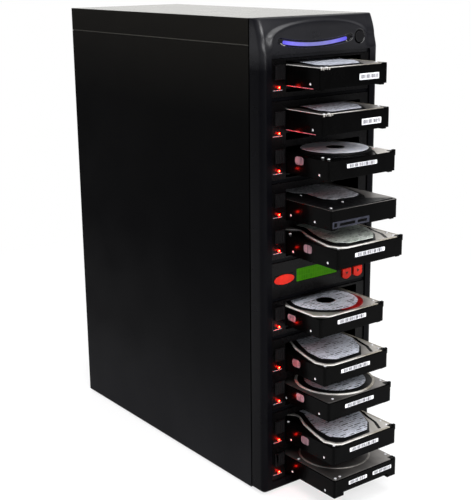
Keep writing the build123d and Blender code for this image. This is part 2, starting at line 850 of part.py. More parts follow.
def exhaust_fan_frame():
    """Square fan frame with a round duct and a bearing boss on four arms."""
    y1 = case_depth - steel
    y0 = y1 - exhaust_depth
    outline = Pos(0, exhaust_z) * RectangleRounded(exhaust_size, exhaust_size, exhaust_corner)
    frame = through(outline, y0, y1) - bar(exhaust_radius, 0, exhaust_z, y0, y1)
    arm_back = y0 + guard_bar
    for turn in (45, 135):
        arm = Pos(0, (y0 + arm_back) / 2, exhaust_z) * Rot(0, turn, 0)
        frame += arm * Box(2 * exhaust_radius + guard_bar, guard_bar, 2 * guard_bar)
    frame += bar(exhaust_hub_radius, 0, exhaust_z, y0, arm_back)
    frame -= bar(shaft_radius + shaft_gap, 0, exhaust_z, y0, arm_back)
    edges, supply, fan = screw_places()
    return drill(frame, fan, y0, y1)


def exhaust_fan_rotor():
    """Rotor of the exhaust fan, its shaft in the frame's boss."""
    y1 = case_depth - steel - fan_rear_gap
    y0 = case_depth - steel - exhaust_depth + guard_bar + running_gap
    start = y0 - guard_bar
    return fan_rotor(0, exhaust_z, y0, y1, exhaust_radius - blade_tip_gap, exhaust_hub_radius, start)


def power_supply():
    """Steel box with a fan guard, an inlet with three pins and a frame for the rocker."""
    half = supply_width / 2
    box = block(-half, half, supply_front, supply_rear, supply_bottom, supply_top)
    box -= block(-half + steel, half - steel, supply_front + steel, supply_rear - steel,
                 supply_bottom + steel, supply_top - steel)
    rear = supply_rear
    box -= bar(supply_fan_radius, supply_fan_x, supply_fan_z, rear - steel, rear)
    ring_pitch = (supply_fan_radius - hub_share_radius) / (guard_rings + 1)
    for index in range(1, guard_rings + 1):
        radius = hub_share_radius + index * ring_pitch
        ring = bar(radius + guard_ring_width / 2, supply_fan_x, supply_fan_z, rear - steel, rear)
        ring -= bar(radius - guard_ring_width / 2, supply_fan_x, supply_fan_z, rear - steel, rear)
        box += ring
    for turn in (45, 135):
        spoke = Pos(supply_fan_x, rear - steel / 2, supply_fan_z) * Rot(0, turn, 0)
        box += spoke * Box(2 * supply_fan_radius + 2, steel, guard_bar)
    box += bar(hub_share_radius, supply_fan_x, supply_fan_z, rear - guard_bar, rear)
    box -= bar(shaft_radius + shaft_gap, supply_fan_x, supply_fan_z, rear - guard_bar, rear)
    wide = inlet_half_width
    tall = inlet_half_height
    wall = inlet_wall
    box += block(inlet_x - wide - wall, inlet_x + wide + wall, rear - inlet_depth - wall, rear,
                 inlet_z - tall - wall, inlet_z + tall + wall)
    box -= block(inlet_x - wide, inlet_x + wide, rear - inlet_depth, rear, inlet_z - tall, inlet_z + tall)
    for step in (-1, 0, 1):
        x = inlet_x + step * inlet_pin_pitch
        z = inlet_z + (inlet_pin if step == 0 else -inlet_pin)
        root = rear - inlet_depth
        box += block(x - inlet_pin / 2, x + inlet_pin / 2, root, root + inlet_pin_length,
                     z - inlet_pin_height / 2, z + inlet_pin_height / 2)
    side = rocker_half_width + running_gap
    reach = rocker_frame_half_height
    thick = rocker_frame_wall
    box += block(inlet_x - side - thick, inlet_x + side + thick, rear - rocker_frame_depth, rear,
                 rocker_z - reach - thick, rocker_z + reach + thick)
    box -= block(inlet_x - side, inlet_x + side, rear - rocker_frame_depth, rear,
                 rocker_z - reach, rocker_z + reach)
    pin_half = side + rocker_pin_length
    bore = Rot(0, 90, 0) * Cylinder(rocker_pin_radius + shaft_gap, 2 * pin_half)
    box -= Pos(inlet_x, rear - rocker_pivot_inset, rocker_z) * bore
    edges, supply, fan = screw_places()
    return drill(box, supply, rear - steel, rear)


def power_supply_fan():
    """Rotor of the power supply's fan, its shaft in the guard's boss."""
    y1 = supply_rear - guard_bar - running_gap
    y0 = y1 - supply_fan_depth
    tip = supply_fan_radius - blade_tip_gap
    return fan_rotor(supply_fan_x, supply_fan_z, y0, y1, tip, hub_share_radius, y1 + guard_bar)


def power_rocker():
    """Rocker with a dipped face, on two pins, resting with its upper end pressed."""
    half = rocker_half_height
    profile = Polyline((rocker_dip, 0), (rocker_face, half), (0, half), (-rocker_back, half / 2),
                       (-rocker_back, -half / 2), (0, -half), (rocker_face, -half), close=True)
    outline = make_face(Plane.YZ * profile)
    body = Pos(-rocker_half_width, 0, 0) * extrude(outline, amount=2 * rocker_half_width, dir=(1, 0, 0))
    pin_half = rocker_half_width + rocker_pin_length
    body += Rot(0, 90, 0) * Cylinder(rocker_pin_radius, 2 * pin_half)
    return Pos(inlet_x, supply_rear - rocker_pivot_inset, rocker_z) * Rot(rocker_tilt, 0, 0) * body


def screws():
    """Pan head screws on the rear."""
    edges, supply, fan = screw_places()
    pieces = []
    for x, z in edges + supply + fan:
        length = frame_sheet if (x, z) in edges else screw_length if (x, z) in fan else steel
        shank = bar(screw_radius, x, z, case_depth - steel - length, case_depth)
        pieces.append(shank + bar(screw_head_radius, x, z, case_depth, case_depth + screw_head_height))
    return pieces


def feet():
    """Four round rubber pads."""
    x = half_case - foot_inset_x
    return [Pos(side * x, y, -foot_height / 2) * Cylinder(foot_radius, foot_height)
            for side in (-1, 1) for y in (foot_front_y, foot_rear_y)]


os.makedirs("parts", exist_ok=True)

racks = {"single_rack_1": [1], "double_rack_2_3": [3, 2], "double_rack_4_5": [5, 4],
         "single_rack_6": [6], "double_rack_7_8": [8, 7], "double_rack_9_10": [10, 9]}
for rack_name, rack_bays in racks.items():
    save(rack_name, rack(rack_bays))
save("backplane_boards", *[backplane(rack_bays) for rack_bays in racks.values()])

bays = range(1, len(drive_reach) + 1)
save("status_lights", *[status_light(bay) for bay in bays])
for bay in bays:
    style = cover_styles[bay - 1]
    body = [place_drive(piece, bay) for piece in (drive_casting(style), drive_board(), drive_plug())]
    save(f"drive_{bay:02d}_body", *body)
    save(f"drive_{bay:02d}_cover", place_drive(drive_cover(style), bay))
    save(f"eject_pull_{bay:02d}", eject_pull(bay))

save("front_bezel", front_bezel())
save("light_bar", light_bar())
save("power_button", power_button())
save("control_panel", control_panel())
save("lcd_screen", lcd_screen())
save("key_down", key(0, 0))
save("key_enter", key(1, 0))
save("key_up", key(0, 1))
save("key_escape", key(1, 1))
save("controller_board", controller_board())
save("chassis_frame", chassis_frame())
save("left_side_panel", side_panel(-1))
save("right_side_panel", side_panel(1))
save("top_cover", top_cover())
save("rear_panel", rear_panel())
save("exhaust_fan_frame", exhaust_fan_frame())
save("exhaust_fan_rotor", exhaust_fan_rotor())
save("power_supply", power_supply())
save("power_supply_fan", power_supply_fan())
save("power_rocker", power_rocker())
save("case_screws", *screws())
save("rubber_feet", *feet())
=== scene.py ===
import json
from math import cos, hypot, pi, radians, sin

import bmesh
import bpy
from mathutils import Matrix, Vector

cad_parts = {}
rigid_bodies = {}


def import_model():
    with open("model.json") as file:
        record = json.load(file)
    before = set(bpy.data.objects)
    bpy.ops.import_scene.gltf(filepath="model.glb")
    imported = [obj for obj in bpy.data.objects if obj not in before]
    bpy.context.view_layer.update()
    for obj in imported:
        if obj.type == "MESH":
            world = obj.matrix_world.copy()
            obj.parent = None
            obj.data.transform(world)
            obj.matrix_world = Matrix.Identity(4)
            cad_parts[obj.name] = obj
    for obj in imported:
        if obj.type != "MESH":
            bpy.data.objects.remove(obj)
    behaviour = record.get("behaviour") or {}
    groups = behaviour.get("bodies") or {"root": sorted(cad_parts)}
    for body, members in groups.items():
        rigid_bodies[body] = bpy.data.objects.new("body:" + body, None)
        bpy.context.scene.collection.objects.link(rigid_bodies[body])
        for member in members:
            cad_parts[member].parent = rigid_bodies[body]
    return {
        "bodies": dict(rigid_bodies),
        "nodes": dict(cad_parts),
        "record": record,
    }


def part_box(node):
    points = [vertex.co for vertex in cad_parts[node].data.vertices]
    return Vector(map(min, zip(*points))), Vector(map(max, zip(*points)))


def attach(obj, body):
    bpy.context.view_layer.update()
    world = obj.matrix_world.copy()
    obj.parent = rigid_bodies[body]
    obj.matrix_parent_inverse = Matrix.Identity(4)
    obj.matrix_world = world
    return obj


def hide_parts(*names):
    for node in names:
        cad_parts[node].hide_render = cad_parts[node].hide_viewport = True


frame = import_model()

# Hard drive duplicator: a black tower with ten drives standing out of its bays.
# Lengths in the pieces' own outlines are millimetres; the scene itself is in metres.
# Case sizes are counted from the bezel's front face and from the underside of the case.

MM = 0.001
framed = set(frame["nodes"].values()) | set(frame["bodies"].values())
for stray in [thing for thing in bpy.context.scene.objects if thing not in framed]:
    bpy.data.objects.remove(stray)
bpy.context.view_layer.update()

# Places on the case
MIDDLE_Y = 170.65
FOOT_HEIGHT = 3.0
FACE_Y = 1.5
BAY_BOTTOM = 12.2
BAY_PITCH = 46.9
BAY_ROW = [10, 9, 8, 7, 6, 4, 3, 2, 1, 0]
LAMP_RISE = [11.2, 6.6, 10.6, 6.6, 10.6, 11.2, 6.6, 10.6, 6.6, 10.6]
LAMP_X = -64.0
LAMP_FRONT = 0.3
PANEL_ROW = 5
MARK_X = -65.2
MARK_DROP = 3.4
BADGE_X = -55.5
BADGE_RISE = 21.1
BADGE_BACK = 0.55
BADGE_HALF_WIDTH = 15.2
BADGE_HALF_HEIGHT = 6.0
BAYS = range(1, 11)
CASE_HALF = 88.0
CASE_TOP = 568.0
OPENING_TOP = 528.1

# Brow of the bezel, with the hollow under its arch
BEZEL_DEPTH = 24.5
BEZEL_CORNER = 7.0
BROW_END_Z = 541.0
BROW_MIDDLE_Z = 562.5
BROW_LEAN = 8 / 13
BROW_LIP = 1.2
BROW_CREST = 1.5
BROW_END_ROUND = 18.5
VISOR_MIDDLE_X = -4.0
VISOR_MIDDLE_Z = 541.0
VISOR_HALF = 76.5
VISOR_RISE = 22.0
VISOR_BLUNT = 2.5
VISOR_STEP = 1.1
VISOR_END_STEP = 3.4
LIGHT_MIDDLE_X = -9.75
LIGHT_MIDDLE_Z = 537.2
LIGHT_LIFT = 4.0
LIGHT_HALF = 46.0
LIGHT_EXTRA = 6.0
LIGHT_RECESS = 8.0
LIGHT_SINK = 2.2
BUTTON_X = 57.4
BUTTON_Z = 542.5
BUTTON_RING = 8.2
BUTTON_SINK = 1.5
BUTTON_BORE = 5.0
BUTTON_BORE_RADIUS = 6.8
RIM_STEP = 0.6
ROW_STEP = 0.55

# Drives, in a drive's own frame: x across, y back from its disc end, z up from its rails
DRIVE_HALF = 50.8
COVER_END = 146
CASTING_TOP = 23.2
PLATE_TOP = 24.6
LABEL_TOP = 26.1
REVERSED_BAY = 4
LABEL_ROOM = 0.25
CORNER_STEPS = 5
COVER_STYLE = {1: "flat", 2: "flat", 3: "round", 4: "turned", 5: "faceted",
               6: "round", 7: "faceted", 8: "round", 9: "faceted", 10: "dish"}

TO_FRONT = Matrix.Rotation(pi / 2, 4, "X")
TO_LEFT = Matrix.Rotation(-pi / 2, 4, "Y")


def spot(x, y, z):
    """A point of the case, in millimetres, as a point of the scene."""
    return Vector((x, y - MIDDLE_Y, z + FOOT_HEIGHT)) * MM


def lamp_height(bay):
    """Height of a bay's lamp above the underside of the case, in millimetres."""
    return BAY_BOTTOM + BAY_PITCH * BAY_ROW[bay - 1] + LAMP_RISE[bay - 1]


def upright(middle):
    """Turns millimetres on an upright face, seen from the front, into their place in the scene."""
    return Matrix.Translation(middle) @ TO_FRONT @ Matrix.Scale(MM, 4)


def cover_frame(bay):
    """Turns millimetres counted from a drive's outer end into their place in the scene."""
    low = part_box(f"drive_{bay:02d}_body")[0]
    return Matrix.Translation((0, low.y, low.z)) @ Matrix.Scale(MM, 4)


def drive_frame(bay):
    """The same for millimetres in a drive's own frame, which starts at its disc end."""
    if bay != REVERSED_BAY:
        return cover_frame(bay)
    low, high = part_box(f"drive_{bay:02d}_body")
    return Matrix.Translation((0, high.y, low.z)) @ Matrix.Rotation(pi, 4, "Z") @ Matrix.Scale(MM, 4)


# Finishes

def tone(red, green, blue):
    """A colour given in 0 to 255 as the shader takes it."""
    parts = [value / 255 for value in (red, green, blue)]
    return (*[p / 12.92 if p <= 0.04045 else ((p + 0.055) / 1.055) ** 2.4 for p in parts], 1)


def grey(share):
    """A grey from 0 to 1 as the shader takes it."""
    return (share, share, share, 1)


def ready(colour):
    """A colour as the shader takes it: three values count in 0 to 255, four are kept."""
    return colour if len(colour) == 4 else tone(*colour)


def fill(node, inputs):
    """Joins the sockets among the inputs to a node, and sets the plain values on it."""
    for name, value in inputs.items():
        if isinstance(value, bpy.types.NodeSocket):
            node.id_data.links.new(value, node.inputs[name])
        else:
            node.inputs[name].default_value = value


def add_node(tree, kind, inputs, **traits):
    """A new node in a tree, with its traits set and its inputs filled."""
    node = tree.nodes.new(kind)
    for trait, value in traits.items():
        setattr(node, trait, value)
    fill(node, inputs)
    return node


def new_finish(name):
    """An empty material with its shader, and the object coordinates that its patterns use."""
    finish = bpy.data.materials.new(name)
    finish.use_nodes = True
    tree = finish.node_tree
    tree.nodes.clear()
    shader = add_node(tree, "ShaderNodeBsdfPrincipled", {})
    add_node(tree, "ShaderNodeOutputMaterial", {"Surface": shader.outputs["BSDF"]})
    return finish, shader, add_node(tree, "ShaderNodeTexCoord", {}).outputs["Object"]


def axes_of(where):
    """The x, y and z of a place."""
    return add_node(where.id_data, "ShaderNodeSeparateXYZ", {"Vector": where}).outputs


def product(first, second):
    """Two values multiplied; the second may be a number."""
    return add_node(first.id_data, "ShaderNodeMath", {0: first, 1: second},
                    operation="MULTIPLY").outputs["Value"]


def cloud(where, size, detail, stretch=(1, 1, 1)):
    """Noise with features of about this size in millimetres, drawn out by stretch."""
    tree = where.id_data
    mapping = add_node(tree, "ShaderNodeMapping", {"Scale": stretch, "Vector": where})
    return add_node(tree, "ShaderNodeTexNoise", {"Scale": 1 / (size * MM), "Detail": detail,
                                                 "Vector": mapping.outputs["Vector"]}).outputs["Fac"]


def bricks(where, size, shift, wide, tall, gap, soft, colours):
    """Rows of cells of about this size in millimetres, in two colours with a third between them."""
    return add_node(where.id_data, "ShaderNodeTexBrick",
                    {"Vector": where, "Scale": 1 / (size * MM), "Brick Width": wide, "Row Height": tall,
                     "Mortar Size": gap, "Mortar Smooth": soft, "Color1": ready(colours[0]),
                     "Color2": ready(colours[1]), "Mortar": ready(colours[2])}, offset=shift).outputs


def shades(value, *stops):
    """Colours along a value, as pairs of place and colour."""
    ramp = add_node(value.id_data, "ShaderNodeValToRGB", {"Fac": value})
    elements = ramp.color_ramp.elements
    while len(elements) < len(stops):
        elements.new(0.5)
    for element, (place, colour) in zip(elements, stops):
        element.position = place
        element.color = ready(colour)
    return ramp.outputs["Color"]


def spread(value, low, high, start=0.3, end=0.7):
    """Maps a value from start to end onto low to high."""
    return add_node(value.id_data, "ShaderNodeMapRange",
                    {"Value": value, "From Min": start, "From Max": end, "To Min": low,
                     "To Max": high}).outputs["Result"]


def blend(amount, first, second):
    """A pattern's colour with this much of a second colour mixed into it."""
    return add_node(amount.id_data, "ShaderNodeMix", {"Factor": amount, "A": first, "B": ready(second)},
                    data_type="RGBA").outputs["Result"]


def mottled(where, colour, other, size, detail, most, start=0.3, end=0.7, stretch=(1, 1, 1)):
    """A colour with clouds of another over it, which hide at most this share of it."""
    return blend(spread(cloud(where, size, detail, stretch), 0, most, start, end), colour, other)


def relief(shader, height, depth):
    """Raises a pattern on the surface by about depth millimetres."""
    bump = add_node(shader.id_data, "ShaderNodeBump",
                    {"Strength": 0.6, "Distance": depth * MM, "Height": height})
    fill(shader, {"Normal": bump.outputs["Normal"]})


def coated(name, dark, light, grain, depth, rough, gloss, rubbed, patch=45):
    """A paint or plastic: clouded colour, fine grain in relief and a few rubbed places."""
    finish, shader, where = new_finish(name)
    colour = shades(cloud(where, patch, 5), (0.3, dark), (0.7, light))
    fill(shader, {"Specular IOR Level": gloss,
                  "Base Color": mottled(where, colour, rubbed, 14, 8, 0.55, 0.66, 0.8, (1, 1, 3.5)),
                  "Roughness": spread(cloud(where, patch / 3, 4), *rough)})
    relief(shader, cloud(where, grain, 2), depth)
    return finish


def brushed(name, dark, light, rough, stretch, metal=1.0, stain=None, painted_shade=None):
    """A sheet metal with drawn lines and faint stains.
    painted_shade is a second colour painted over it as shade, and where along x it is full and where it
    ends, in millimetres."""
    finish, shader, where = new_finish(name)
    lines = cloud(where, 9, 6, stretch)
    colour = shades(lines, (0.25, dark), (0.75, light))
    if stain:
        colour = mottled(where, colour, stain, 22, 4, 0.6, 0.55, 0.75)
    # Painted shade: a second colour laid along x darkens one side of the sheet.
    if painted_shade:
        second, full, none = painted_shade
        colour = blend(spread(axes_of(where)["X"], 0.9, 0, full * MM, none * MM), colour, second)
    fill(shader, {"Metallic": metal, "Base Color": colour, "Roughness": spread(lines, *rough)})
    relief(shader, lines, 0.05)
    return finish


def lit_plastic(name, colour, core, strength, size):
    """A glowing lens, a little uneven."""
    finish, shader, where = new_finish(name)
    fill(shader, {"Emission Color": shades(cloud(where, size, 3), (0.3, colour), (0.7, core)),
                  "Emission Strength": strength, "Base Color": ready(colour), "Roughness": 0.25})
    relief(shader, cloud(where, 0.6, 2), 0.02)
    return finish


def side_paint():
    """Satin black paint with a fine orange peel, paler at foot and top as painted light, and with a painted
    highlight along the seam.
    """
    finish, shader, where = new_finish("black_case_paint")
    rise = axes_of(where)["Z"]
    # Painted light and shade: the colour is paler at the foot and the top and darkest in the middle.
    colour = shades(spread(rise, 0, 1, 0.0, (CASE_TOP + 2) * MM), (0.0, (32, 32, 34)),
                    (0.25, (16, 16, 17)), (0.5, (3, 3, 4)), (0.8, (7, 7, 7)), (1.0, (25, 24, 22)))
    colour = mottled(where, colour, (12, 12, 13), 120, 3, 0.2)
    colour = mottled(where, colour, (22, 22, 23), 9, 8, 0.3, 0.7, 0.85, (1, 1, 3))
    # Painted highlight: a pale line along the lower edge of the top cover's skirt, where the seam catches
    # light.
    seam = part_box("top_cover")[0].z
    above = spread(rise, 0, 1, seam - 0.1 * MM, seam + 0.1 * MM)
    below = spread(rise, 1, 0, seam + 0.8 * MM, seam + 1.2 * MM)
    fill(shader, {"Specular IOR Level": 0.008,
                  "Base Color": blend(product(above, below), colour, (62, 61, 57)),
                  "Roughness": spread(cloud(where, 60, 4), 0.42, 0.55)})
    relief(shader, cloud(where, 0.9, 2), 0.02)
    return finish


def top_paint():
    """The same paint on the top sheet, where it lies flat and shines like a mirror at a low angle."""
    finish, shader, where = new_finish("black_top_paint")
    fill(shader, {"Specular IOR Level": 1.0, "Coat Weight": 1.0, "Coat Roughness": 0.2, "Coat IOR": 1.9,
                  "Base Color": shades(cloud(where, 90, 4), (0.3, (24, 23, 22)), (0.7, (34, 33, 31))),
                  "Roughness": spread(cloud(where, 40, 4), 0.3, 0.42)})
    relief(shader, cloud(where, 0.9, 2), 0.008)
    return finish


def bezel_plastic():
    """Moulded black plastic, polished on the brow, duller down the columns, black at its rear joint."""
    finish, shader, where = new_finish("moulded_bezel")
    axes = axes_of(where)
    low, high = (OPENING_TOP - 14) * MM, (OPENING_TOP + 16) * MM
    shine = spread(axes["Z"], 0, 1, low, (CASE_TOP + FOOT_HEIGHT) * MM)
    gloss = shades(shine, (0.0, grey(0.03)), (0.45, grey(0.42)), (0.78, grey(0.42)), (1.0, grey(0.07)))
    rear = (BEZEL_DEPTH - MIDDLE_Y) * MM
    joint = spread(axes["Y"], 0, 1, rear - 2.1 * MM, rear - 1.4 * MM)
    # Painted light and shade: the colour is darker down the columns and paler up on the brow.
    colour = shades(spread(axes["Z"], 0, 1, low, high), (0.0, (5, 5, 7)), (1.0, (15, 15, 19)))
    colour = mottled(where, colour, (9, 9, 12), 70, 5, 0.4)
    colour = mottled(where, colour, (22, 22, 26), 14, 8, 0.5, 0.68, 0.82, (1, 1, 3.5))
    fill(shader, {"Specular IOR Level": blend(joint, gloss, (0, 0, 0)),
                  "Base Color": blend(joint, colour, (1, 1, 1)),
                  "Roughness": spread(cloud(where, 23, 4), 0.26, 0.36)})
    relief(shader, cloud(where, 0.7, 2), 0.02)
    return finish


def light_strip():
    """The lit strip: violet blue at its ends and pale in the middle."""
    finish, shader, where = new_finish("light_strip")
    along = spread(axes_of(where)["X"], 0, 1, -56 * MM, 36 * MM)
    glow = shades(along, (0.0, (96, 84, 235)), (0.12, (138, 128, 250)), (0.4, (124, 124, 186)),
                  (0.62, (130, 130, 186)), (0.82, (132, 126, 224)), (1.0, (88, 78, 226)))
    fill(shader, {"Emission Color": mottled(where, glow, (96, 90, 190), 5, 4, 0.3),
                  "Emission Strength": 0.95, "Base Color": tone(40, 40, 90), "Roughness": 0.2})
    relief(shader, cloud(where, 0.8, 2), 0.03)
    return finish


def screen_glass():
    """Green screen with faint rows of blank character cells."""
    finish, shader, where = new_finish("green_screen")
    turned = add_node(where.id_data, "ShaderNodeMapping", {"Rotation": (pi / 2, 0, 0), "Vector": where})
    cells = bricks(turned.outputs["Vector"], 3.6, 0, 1.0, 1.6, 0.09, 0.4,
                   ((34, 84, 0), (40, 92, 0), (48, 102, 2)))
    colour = mottled(where, cells["Color"], (48, 98, 0), 25, 2, 0.5)
    fill(shader, {"Specular IOR Level": 0.03, "Base Color": colour, "Emission Color": colour,
                  "Emission Strength": 0.55, "Roughness": 0.12})
    relief(shader, cells["Fac"], 0.02)
    return finish


def label_paper(name, pale, dull, row=4.2):
    """Glossy printed paper with creased sheen and grey rows of print that say nothing."""
    finish, shader, where = new_finish(name)
    rows = bricks(where, row, 0.37, 3.1, 1.0, 0.27, 0.1, (grey(1), grey(0.15), grey(0)))
    gaps = spread(cloud(where, 8, 2, (1, 2.5, 1)), 0, 1, 0.44, 0.5)
    ink = spread(product(gaps, rows["Color"]), 0, 1, 0, 0.8)
    paper = shades(cloud(where, 18, 4), (0.3, dull), (0.7, pale))
    fill(shader, {"Specular IOR Level": 0.22, "Base Color": blend(ink, paper, (42, 44, 50)),
                  "Roughness": spread(cloud(where, 12, 3), 0.34, 0.5)})
    relief(shader, cloud(where, 10, 2), 0.06)
    return finish


def bar_label():
    """White end label, a little creased and specked."""
    finish, shader, where = new_finish("bar_label")
    paper = shades(cloud(where, 9, 3), (0.3, (222, 222, 228)), (0.7, (246, 246, 248)))
    fill(shader, {"Base Color": mottled(where, paper, (120, 120, 128), 1.5, 4, 0.6, 0.64, 0.74),
                  "Roughness": spread(cloud(where, 12, 3), 0.3, 0.45)})
    relief(shader, cloud(where, 2, 2), 0.02)
    return finish


FINISH = {
    "case_paint": side_paint(),
    "bezel_plastic": bezel_plastic(),
    "rack_plastic": coated("gloss_black_plastic", (3, 3, 3), (6, 5, 6), 1.1, 0.02, (0.2, 0.34), 0.08,
                           (12, 11, 12)),
    "pull_plastic": coated("pull_black_plastic", (7, 6, 7), (13, 12, 13), 0.6, 0.05, (0.3, 0.45), 0.14,
                           (28, 26, 29)),
    "frame_steel": brushed("zinc_plated_sheet", (150, 152, 156), (186, 188, 190), (0.3, 0.5),
                           (0.25, 0.25, 3), stain=(120, 122, 128)),
    "light_lens": light_strip(),
    "button_plastic": coated("button_black_plastic", (8, 8, 9), (13, 13, 15), 0.5, 0.04, (0.25, 0.4), 0.2,
                             (24, 24, 27)),
    "key_plastic": coated("red_key_plastic", (186, 26, 10), (216, 40, 20), 0.6, 0.04, (0.3, 0.45), 0.12,
                          (222, 66, 44)),
    "screen": screen_glass(),
    "lamp_lens": lit_plastic("red_lamp_lens", (235, 8, 2), (255, 24, 6), 1.3, 2),
    "circuit_board": coated("green_board", (14, 52, 34), (24, 74, 46), 2.2, 0.15, (0.3, 0.5), 0.5,
                            (60, 90, 70), patch=12),
    "drive_casting": coated("black_casting", (2, 2, 2), (4, 4, 4), 0.5, 0.012, (0.16, 0.22), 0.025,
                            (9, 8, 8), patch=25),
    "drive_cover": brushed("silver_cover", (168, 164, 158), (206, 202, 196), (0.3, 0.46), (1, 0.3, 1),
                           metal=0.72, stain=(140, 136, 130)),
    "supply_steel": brushed("supply_sheet", (120, 122, 126), (158, 160, 164), (0.35, 0.55), (3, 0.3, 0.3),
                            stain=(98, 100, 104)),
    "fan_plastic": coated("fan_black_plastic", (18, 18, 19), (30, 30, 31), 0.8, 0.05, (0.4, 0.6), 0.5,
                          (50, 50, 52)),
    "rocker_plastic": coated("rocker_black_plastic", (16, 16, 17), (28, 28, 30), 0.5, 0.04, (0.25, 0.4),
                             0.5, (60, 60, 62)),
    "screw_steel": brushed("plated_screw", (196, 196, 200), (236, 236, 238), (0.2, 0.4), (1, 1, 1),
                           metal=0.35),
    "foot_rubber": coated("foot_rubber", (18, 18, 18), (28, 28, 28), 0.5, 0.12, (0.7, 0.9), 0.3,
                          (44, 44, 44)),
}
TOP_PAINT = top_paint()
LAMP_CORE = lit_plastic("lamp_core", (255, 196, 110), (255, 228, 170), 1.4, 1)
# Painted shade: a darker black for the faces inside the light bar's and the button's recesses.
RECESS_PAINTED_SHADE = coated("recess_painted_shade", (5, 5, 7), (9, 9, 12), 0.5, 0.03, (0.12, 0.22), 0.35, (20, 20, 26),
                      patch=12)
SILVER = FINISH["drive_cover"]
SCREW_STEEL = FINISH["screw_steel"]
# Painted shade: the grey deck darkens towards its left side.
DARK_DECK = brushed("grey_dish_cover", (112, 109, 107), (146, 142, 138), (0.3, 0.44), (1, 0.3, 1),
                    metal=0.6, stain=(92, 90, 88), painted_shade=((56, 54, 53), -48, 42))
SEAL_RUBBER = coated("black_seal", (6, 6, 7), (12, 12, 13), 0.4, 0.05, (0.3, 0.5), 0.14, (30, 30, 32),
                     patch=15)
COVER_LABEL = label_paper("cover_label", (220, 224, 234), (192, 197, 208))
DISC_LABEL = coated("white_disc_label", (206, 212, 226), (250, 251, 255), 1.5, 0.04, (0.3, 0.45), 0.3,
                    (170, 174, 186), patch=9)
GREEN_LABEL = label_paper("greenish_cover_label", (222, 228, 222), (184, 194, 182))
GREY_LABEL = label_paper("grey_cover_label", (216, 218, 224), (170, 172, 178))
END_LABEL = bar_label()
SIDE_SEAL = label_paper("side_seal_paper", (164, 136, 144), (104, 78, 86), 2.3)
FIRST_LABEL = label_paper("first_cover_label", (168, 171, 180), (138, 142, 152))
BADGE_RED = coated("red_badge_enamel", (176, 22, 8), (202, 34, 16), 0.8, 0.02, (0.12, 0.22), 0.12,
                   (226, 60, 38), patch=9)
MARK_WHITE = coated("white_mark", (96, 90, 94), (138, 130, 136), 0.6, 0.02, (0.35, 0.5), 0.3, (70, 62, 66),
                    patch=3)
KEY_PRINT = coated("key_print", (40, 6, 4), (66, 12, 8), 0.4, 0.02, (0.4, 0.6), 0.2, (96, 20, 14), patch=2)
CRESCENT_RED = coated("red_cover_patch", (104, 2, 4), (150, 6, 8), 0.6, 0.03, (0.3, 0.45), 0.15,
                      (80, 4, 6), patch=9)
LABEL_INK = coated("label_ink", (48, 48, 54), (88, 88, 96), 0.4, 0.01, (0.4, 0.6), 0.4, (120, 120, 128),
                   patch=3)
# Painted light: the red glow of the nearby status lamp on a flat drive's left side.
RED_GLOW_PAINT = coated("red_glow_paint", (150, 40, 52), (214, 128, 138), 0.6, 0.02, (0.3, 0.45), 0.3,
                  (230, 190, 196), patch=8)
# Painted highlight: near-white, barely metallic rims and edge lines stand for the light they catch, with
# painted shade dimming them towards the right.
PAINTED_RIM_HIGHLIGHT = brushed("rim_painted_highlight", (214, 211, 205), (242, 240, 235), (0.22, 0.34), (1, 0.3, 1),
                     metal=0.15, stain=(196, 192, 186), painted_shade=((128, 121, 106), 16, -6))
PLUG_GREY = coated("blue_grey_plug", (27, 28, 37), (42, 44, 56), 0.5, 0.04, (0.35, 0.5), 0.2, (72, 74, 88),
                   patch=8)


# Mesh making

def add_object(name, data):
    """A new object in the scene."""
    thing = bpy.data.objects.new(name, data)
    bpy.context.scene.collection.objects.link(thing)
    return thing


def piece_from(name, mesh, finish, body):
    """Links a finished mesh as a piece that rides on a body."""
    mesh.materials.clear()
    mesh.materials.append(finish)
    piece = add_object(name, mesh)
    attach(piece, body)
    return piece


def shade(mesh, limit=38):
    """Smooth faces with hard edges where they meet at more than the limit in degrees."""
    work = bmesh.new()
    work.from_mesh(mesh)
    for face in work.faces:
        face.smooth = True
    for edge in work.edges:
        edge.smooth = edge.is_manifold and edge.calc_face_angle(0) < radians(limit)
    work.to_mesh(mesh)
    work.free()


def mesh_of(work, name, place=None, limit=38):
    """Ends the work on a mesh, puts it in its place and shades it."""
    mesh = bpy.data.meshes.new(name)
    work.to_mesh(mesh)
    work.free()
    if place:
        mesh.transform(place)
    shade(mesh, limit)
    return mesh


def soften(piece, width):
    """Rounds a piece's sharp edges by a width in millimetres."""
    rounding = piece.modifiers.new("rounded_edges", "BEVEL")
    rounding.width = width * MM
    rounding.segments = 2
    rounding.limit_method = "ANGLE"
    rounding.angle_limit = radians(32)
    rounding.harden_normals = True


def arc_corner(before, corner, after, radius):
    """Points that round one corner of an outline."""
    corner = Vector(corner)
    to_before, to_after = Vector(before) - corner, Vector(after) - corner
    limit = 0.48 * min(to_before.length, to_after.length)
    to_before.normalize()
    to_after.normalize()
    half = to_before.angle(to_after) / 2
    back = min(radius / max(0.15, abs(sin(half) / max(cos(half), 1e-6))), limit)
    start, end = corner + to_before * back, corner + to_after * back
    shares = [step / CORNER_STEPS for step in range(CORNER_STEPS + 1)]
    return [tuple(start.lerp(corner, share).lerp(corner.lerp(end, share), share)) for share in shares]


def rounded(corners, radius):
    """A closed outline with all its corners rounded."""
    points = []
    for index, corner in enumerate(corners):
        points += arc_corner(corners[index - 1], corner, corners[(index + 1) % len(corners)], radius)
    return points


def oblong(x0, x1, y0, y1, radius):
    """A rectangle with rounded corners."""
    return rounded([(x0, y0), (x1, y0), (x1, y1), (x0, y1)], radius)


def oval(x, y, half_width, half_height, count):
    """An ellipse as an outline."""
    turns = [2 * pi * step / count for step in range(count)]
    return [(x + half_width * cos(turn), y + half_height * sin(turn)) for turn in turns]


